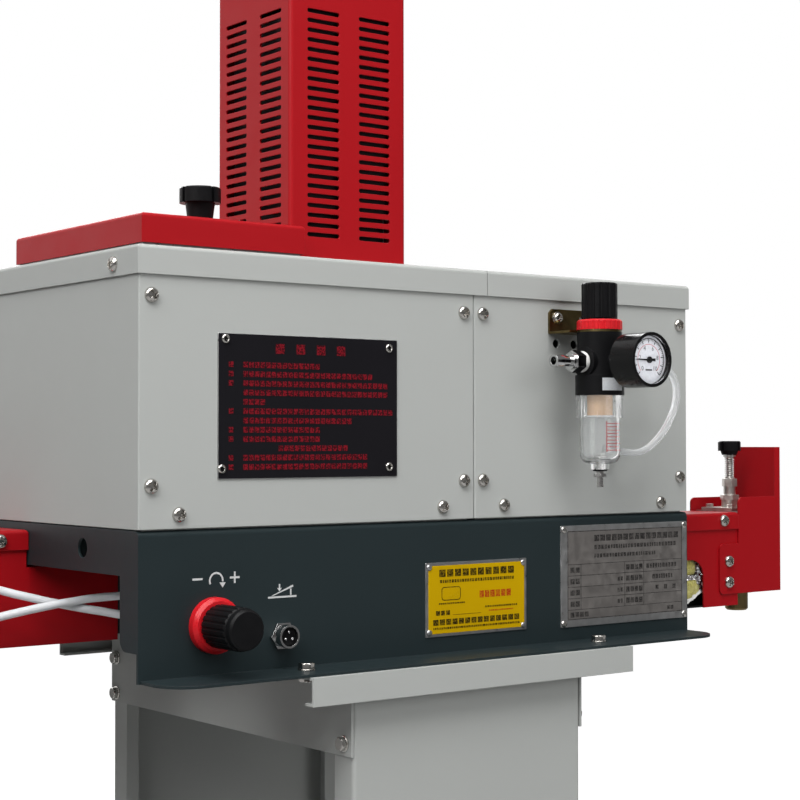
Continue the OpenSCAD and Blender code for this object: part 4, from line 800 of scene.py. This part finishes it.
def lumpy_block(x0, y0, z0, x1, y1, z1, step, lump, seed):
    """A block of wool whose skin is pushed in toward its middle by noise."""
    nx, ny, nz = (max(2, round((b - a) / step)) for a, b in ((x0, x1), (y0, y1), (z0, z1)))
    index, points, faces = {}, [], []

    def corner(i, j, k):
        if (i, j, k) not in index:
            p = Vector((x0 + (x1 - x0) * i / nx, y0 + (y1 - y0) * j / ny, z0 + (z1 - z0) * k / nz))
            middle = Vector(((x0 + x1) / 2, (y0 + y1) / 2, (z0 + z1) / 2))
            pull = lump * (0.5 + noise.fractal(p * 0.09 + Vector((seed, 0, 0)), 1.0, 2.0, 4))
            index[(i, j, k)] = len(points)
            points.append(tuple(p + (middle - p).normalized() * max(0.15, pull)))
        return index[(i, j, k)]

    for i in range(nx):
        for j in range(ny):
            faces.append([corner(i, j, 0), corner(i, j + 1, 0), corner(i + 1, j + 1, 0), corner(i + 1, j, 0)])
            faces.append([corner(i, j, nz), corner(i + 1, j, nz), corner(i + 1, j + 1, nz), corner(i, j + 1, nz)])
    for i in range(nx):
        for k in range(nz):
            faces.append([corner(i, 0, k), corner(i + 1, 0, k), corner(i + 1, 0, k + 1), corner(i, 0, k + 1)])
            faces.append([corner(i, ny, k), corner(i, ny, k + 1), corner(i + 1, ny, k + 1), corner(i + 1, ny, k)])
    for j in range(ny):
        for k in range(nz):
            faces.append([corner(0, j, k), corner(0, j, k + 1), corner(0, j + 1, k + 1), corner(0, j + 1, k)])
            faces.append([corner(nx, j, k), corner(nx, j + 1, k), corner(nx, j + 1, k + 1), corner(nx, j, k + 1)])
    return points, faces


def wool_pad(middle, half, slant, seed):
    """A soft pad of wool, boxy and lumpy, whose lower end leans sideways."""
    layers, count = [], 40
    for step in range(19):
        lat = math.radians(-86 + 172 * step / 18)
        layer = []
        for k in range(count):
            turn = k * math.tau / count
            way = Vector((math.cos(lat) ** 0.6 * math.copysign(abs(math.cos(turn)) ** 0.7, math.cos(turn)),
                          math.cos(lat) ** 0.6 * math.copysign(abs(math.sin(turn)) ** 0.7, math.sin(turn)),
                          math.copysign(abs(math.sin(lat)) ** 0.8, math.sin(lat))))
            p = Vector([m + h * w for m, h, w in zip(middle, half, way)])
            p.x += slant * max(0.0, -way.z) ** 1.5
            layer.append(tuple(p - way * (0.9 + 0.9 * noise.fractal(p * 0.3 + Vector((seed, 0, 0)), 1.0, 2.0, 4))))
        layers.append(layer)
    return rings(layers)


def crumpled(corner, u, v, fold, seed, t=0.25, step=0.9):
    """A crumpled sheet with some thickness, spread along u and v from a corner."""
    corner, u, v = Vector(corner), Vector(u), Vector(v)
    out = u.cross(v).normalized()
    nu, nv = max(2, round(u.length / step)), max(2, round(v.length / step))
    row, points, faces = nu + 1, [], []
    back = row * (nv + 1)
    for side in (0, 1):
        for j in range(nv + 1):
            for i in range(nu + 1):
                p = corner + u * (i / nu) + v * (j / nv)
                crease = noise.fractal(p * 0.42 + Vector((seed, seed, 0)), 0.9, 2.1, 3)
                torn = noise.noise(p * 0.8 + Vector((0, seed, 0))) * (0.9 if i in (0, nu) or j in (0, nv) else 0.0)
                spread = (u.normalized() + v.normalized()) * torn
                points.append(tuple(p + out * (fold * crease - t * side) + spread))
    for j in range(nv):
        for i in range(nu):
            a, b = j * row + i, j * row + i + back
            faces += [[a, a + 1, a + 1 + row, a + row], [b, b + row, b + row + 1, b + 1]]
    for i in range(nu):
        a, b = i, nv * row + i
        faces += [[a + 1, a, a + back, a + 1 + back], [b, b + 1, b + 1 + back, b + back]]
    for j in range(nv):
        a, b = j * row, j * row + nu
        faces += [[a, a + row, a + row + back, a + back], [b + row, b, b + back, b + row + back]]
    return points, faces


wool = Shape()
wool.add(lumpy_block(532, 40, -60, 622.5, 75, -17.5, 2.2, 2.2, 3.0), top(0, 0, 0))
wool.add(wool_pad((562.5, 35, -50.5), (15.0, 5.0, 9.0), 0, 5.0), top(0, 0, 0))
wool.add(wool_pad((566.5, 35, -71.5), (17.0, 5.0, 11.5), -11, 8.0), top(0, 0, 0))
wool.make("glass_wool", [WOOL], replaced=("valve_wool",), sharp=80)

wrap = Shape()
for corner, u, v, seed in (((575.5, 32.0, -66), (11.0, 0, 0), (0, 0, 23.5), 2.0),
                           ((546, 31.6, -62.2), (38, 0, 0.4), (0, 0, 3.8), 4.0),
                           ((579.5, 31.8, -74), (6.5, 0, 0), (-1, 0, 11), 6.0)):
    wrap.add(crumpled(corner, u, v, 2.1, seed), top(0, 0, 0))
wrap.make("foil_wrap", [FOIL], sharp=14)

# A curl of foil in the white tape finish: the white is a painted highlight for the foil's bright reflection
glint_curl = Shape()
glint_curl.add(crumpled((562.5, 30.2, -82.8), (19.0, 0.4, 9.6), (-1.3, 1.6, 3.6), 0.6, 3.0), top(0, 0, 0))
glint_curl.make("foil_curl_painted_highlight", [TAPE], sharp=40)

# Black blocks under the wool are painted shade: they stand for the inside of the box below the notch, which lies
# in shade
shade_fill = Shape()
for y0, y1, z0, z1 in ((40.5, 75.3, -86.2, -61), (29.2, 40.5, -86.2, -85.2)):
    shade_fill.add(rings([[(x, y, z) for x, y in ((532.2, y0), (622.3, y0), (622.3, y1), (532.2, y1))]
                      for z in (z0, z1)]), top(0, 0, 0), smooth=False)
shade_fill.make("valve_box_painted_shade", [RUBBER])

# The valve's spring, drawn fine, with a mesh of its own

SPINDLE_X, SPINDLE_Y = 642.5, 52.0
SPRING_FOOT, SPRING_L, SPRING_R, WIRE_R, TURNS = 26.3, 19.5, 4.25, 0.45, 12


def coil(steps=28, sides=10):
    """A spring whose end turns lie flat."""
    dead = 0.9
    live = TURNS - 2 * dead
    layers = []
    for i in range(TURNS * steps + 1):
        turn = i / steps
        a = turn * math.tau
        z = WIRE_R + min(max(turn - dead, 0), live) / live * (SPRING_L - 2 * WIRE_R)
        layer = []
        for k in range(sides):
            b = -k * math.tau / sides
            reach = SPRING_R + WIRE_R * math.cos(b)
            layer.append((reach * math.cos(a), reach * math.sin(a), z + WIRE_R * math.sin(b)))
        layers.append(layer)
    return rings(layers)


spring = Shape()
spring.add(coil(), top(SPINDLE_X, SPINDLE_Y, SPRING_FOOT))
spring_piece = spring.make("valve_coil", [NICKEL], replaced=("valve_spring",), sharp=80)
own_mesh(spring_piece)

# Operator's side: displays, keys, lamps and marks

ROW_X, PANEL_Y = 411.5, CAB_D
DISPLAY_Z, KEY_Z, DIAL_Z = 122, 96, 45


def seven_segment(shape, place, digit, finish):
    """Unlit bars of one figure of a display."""
    for x0, y0, x1, y1 in ((-2, 4.6, 2, 5.4), (-2, -0.4, 2, 0.4), (-2, -5.4, 2, -4.6), (-2.6, 0.6, -1.8, 4.4),
                           (1.8, 0.6, 2.6, 4.4), (-2.6, -4.4, -1.8, -0.6), (1.8, -4.4, 2.6, -0.6)):
        shape.add(bar(x0, y0, x1, y1, 0.05), place @ Matrix.Translation((digit, 0, 0)), finish, False)


panel = Shape()
for i in (-1, 0, 1):
    x = ROW_X + 72 * i
    panel.add(plate(43.4, 23.4, 0.9, 0.8), rear(x, DISPLAY_Z, PANEL_Y + 4.5))
    face = rear(x, DISPLAY_Z, PANEL_Y + 5.4)
    for digit in (-13, -4.5, 4.5, 13):
        seven_segment(panel, face, digit, 1)
    for k in (-1.5, -0.5, 0.5, 1.5):
        panel.add(lathe([(3.3, 0), (3.3, 1.4), (2.9, 1.8), (0.05, 1.9)], 24),
                  rear(x + 11 * k, KEY_Z, PANEL_Y + 4.8), 2)
panel.make("controller_fronts", [DISPLAY, SCALE_RED, KEY_GREY])

lamps = Shape()
for k, x in enumerate((471.5, 495.5)):
    lamps.add(lathe([(4.6, 0), (4.6, 0.8), (4.1, 1.8), (2.8, 2.6), (0.05, 3.0)], 28),
              rear(x, DIAL_Z, PANEL_Y + 8.0), k)
lamps.make("pilot_lamps", [LAMP_GREEN, LAMP_RED])

pointer = Shape()
pointer.add(bar(-0.6, 3.0, 0.6, 12.0, 0.08), rear(ROW_X, DIAL_Z, PANEL_Y + 17.4), 0, False)
pointer.make("dial_mark", [INK_WHITE], body="speed_dial")

ticks = Shape()
for k in range(11):
    turn = Matrix.Rotation(math.radians(-k * 27 + 225 - 90), 4, "Z")
    ticks.add(bar(-0.4, 19.0, 0.4, 22.5 if k % 5 == 0 else 21.0), rear(ROW_X, DIAL_Z) @ turn, 0, False)
ticks.make("dial_scale", [INK_BLACK])

# Stage and light


def make_floor():
    size = 14.0
    mesh = bpy.data.meshes.new("floor")
    mesh.from_pydata([(-size, -size, 0), (size, -size, 0), (size, size, 0), (-size, size, 0)], [], [(0, 1, 2, 3)])
    floor = bpy.data.objects.new("floor", mesh)
    bpy.context.scene.collection.objects.link(floor)
    floor.location.z = -0.0005
    mat = bpy.data.materials.new("pale_floor")
    mat.use_nodes = True
    tree = mat.node_tree
    tree.nodes.clear()
    out = tree.nodes.new("ShaderNodeOutputMaterial")
    both = tree.nodes.new("ShaderNodeAddShader")
    cover = tree.nodes.new("ShaderNodeBsdfDiffuse")
    cover.inputs["Color"].default_value = (0.34, 0.34, 0.34, 1)
    glow = tree.nodes.new("ShaderNodeEmission")
    place = tree.nodes.new("ShaderNodeTexCoord")
    reach = tree.nodes.new("ShaderNodeVectorMath")
    reach.operation = "LENGTH"
    fade = tree.nodes.new("ShaderNodeMapRange")
    for key, value in (("From Min", 0.6), ("From Max", 2.2), ("To Min", 0.82), ("To Max", 1.0)):
        fade.inputs[key].default_value = value
    tree.links.new(place.outputs["Object"], reach.inputs[0])
    tree.links.new(reach.outputs["Value"], fade.inputs["Value"])
    tree.links.new(seen_rays(tree, 0.0, 0.1, fade.outputs["Result"]), glow.inputs["Strength"])
    tree.links.new(cover.outputs[0], both.inputs[0])
    tree.links.new(glow.outputs[0], both.inputs[1])
    tree.links.new(both.outputs[0], out.inputs["Surface"])
    mesh.materials.append(mat)


def seen_rays(tree, unseen, glossy, seen):
    """One value for the rays that only light, one for reflections, and one for what the camera sees."""
    path = tree.nodes.new("ShaderNodeLightPath")
    most = tree.nodes.new("ShaderNodeMath")
    most.operation = "MAXIMUM"
    tree.links.new(path.outputs["Is Camera Ray"], most.inputs[0])
    tree.links.new(path.outputs["Is Transmission Ray"], most.inputs[1])
    dim, full = (tree.nodes.new("ShaderNodeMapRange") for _ in range(2))
    dim.inputs["To Min"].default_value = unseen
    for socket, level in ((dim.inputs["To Max"], glossy), (full.inputs["To Max"], seen)):
        if isinstance(level, float):
            socket.default_value = level
        else:
            tree.links.new(level, socket)
    tree.links.new(path.outputs["Is Glossy Ray"], dim.inputs["Value"])
    tree.links.new(most.outputs[0], full.inputs["Value"])
    tree.links.new(dim.outputs["Result"], full.inputs["To Min"])
    return full.outputs["Result"]


def make_world():
    world = bpy.data.worlds.new("studio")
    bpy.context.scene.world = world
    world.use_nodes = True
    tree = world.node_tree
    back = tree.nodes["Background"]
    back.inputs["Color"].default_value = (1, 1, 1, 1)
    way = tree.nodes.new("ShaderNodeTexCoord")
    parts = tree.nodes.new("ShaderNodeSeparateXYZ")
    wall = tree.nodes.new("ShaderNodeMapRange")
    for key, value in (("From Min", -0.35), ("From Max", 0.45), ("To Min", 0.18), ("To Max", 0.95)):
        wall.inputs[key].default_value = value
    tree.links.new(way.outputs["Generated"], parts.inputs[0])
    tree.links.new(parts.outputs["Y"], wall.inputs["Value"])
    tree.links.new(seen_rays(tree, 0.05, wall.outputs["Result"], 1.0), back.inputs["Strength"])


def make_lamp(name, place, aim, size, power, mirrored=True):
    data = bpy.data.lights.new(name, "AREA")
    data.shape = "RECTANGLE"
    data.size, data.size_y = size
    data.energy = power
    lamp = bpy.data.objects.new(name, data)
    bpy.context.scene.collection.objects.link(lamp)
    lamp.visible_glossy = mirrored
    lamp.location = place
    lamp.rotation_euler = (Vector(aim) - Vector(place)).to_track_quat("-Z", "Y").to_euler()


make_floor()
make_world()
make_lamp("overhead_box", (-0.5, -1.1, 3.1), (0, 0, 0.8), (1.9, 1.9), 68)
make_lamp("left_box", (-2.4, -1.1, 2.7), (0, 0, 0.8), (1.6, 1.6), 63)
make_lamp("right_box", (0.6, -3.1, 1.7), (0, 0, 0.8), (2.4, 2.0), 34, False)
make_lamp("rear_box", (1.2, 2.7, 2.3), (0, 0, 0.7), (1.8, 1.8), 62)
bpy.context.scene.view_settings.view_transform = "Standard"
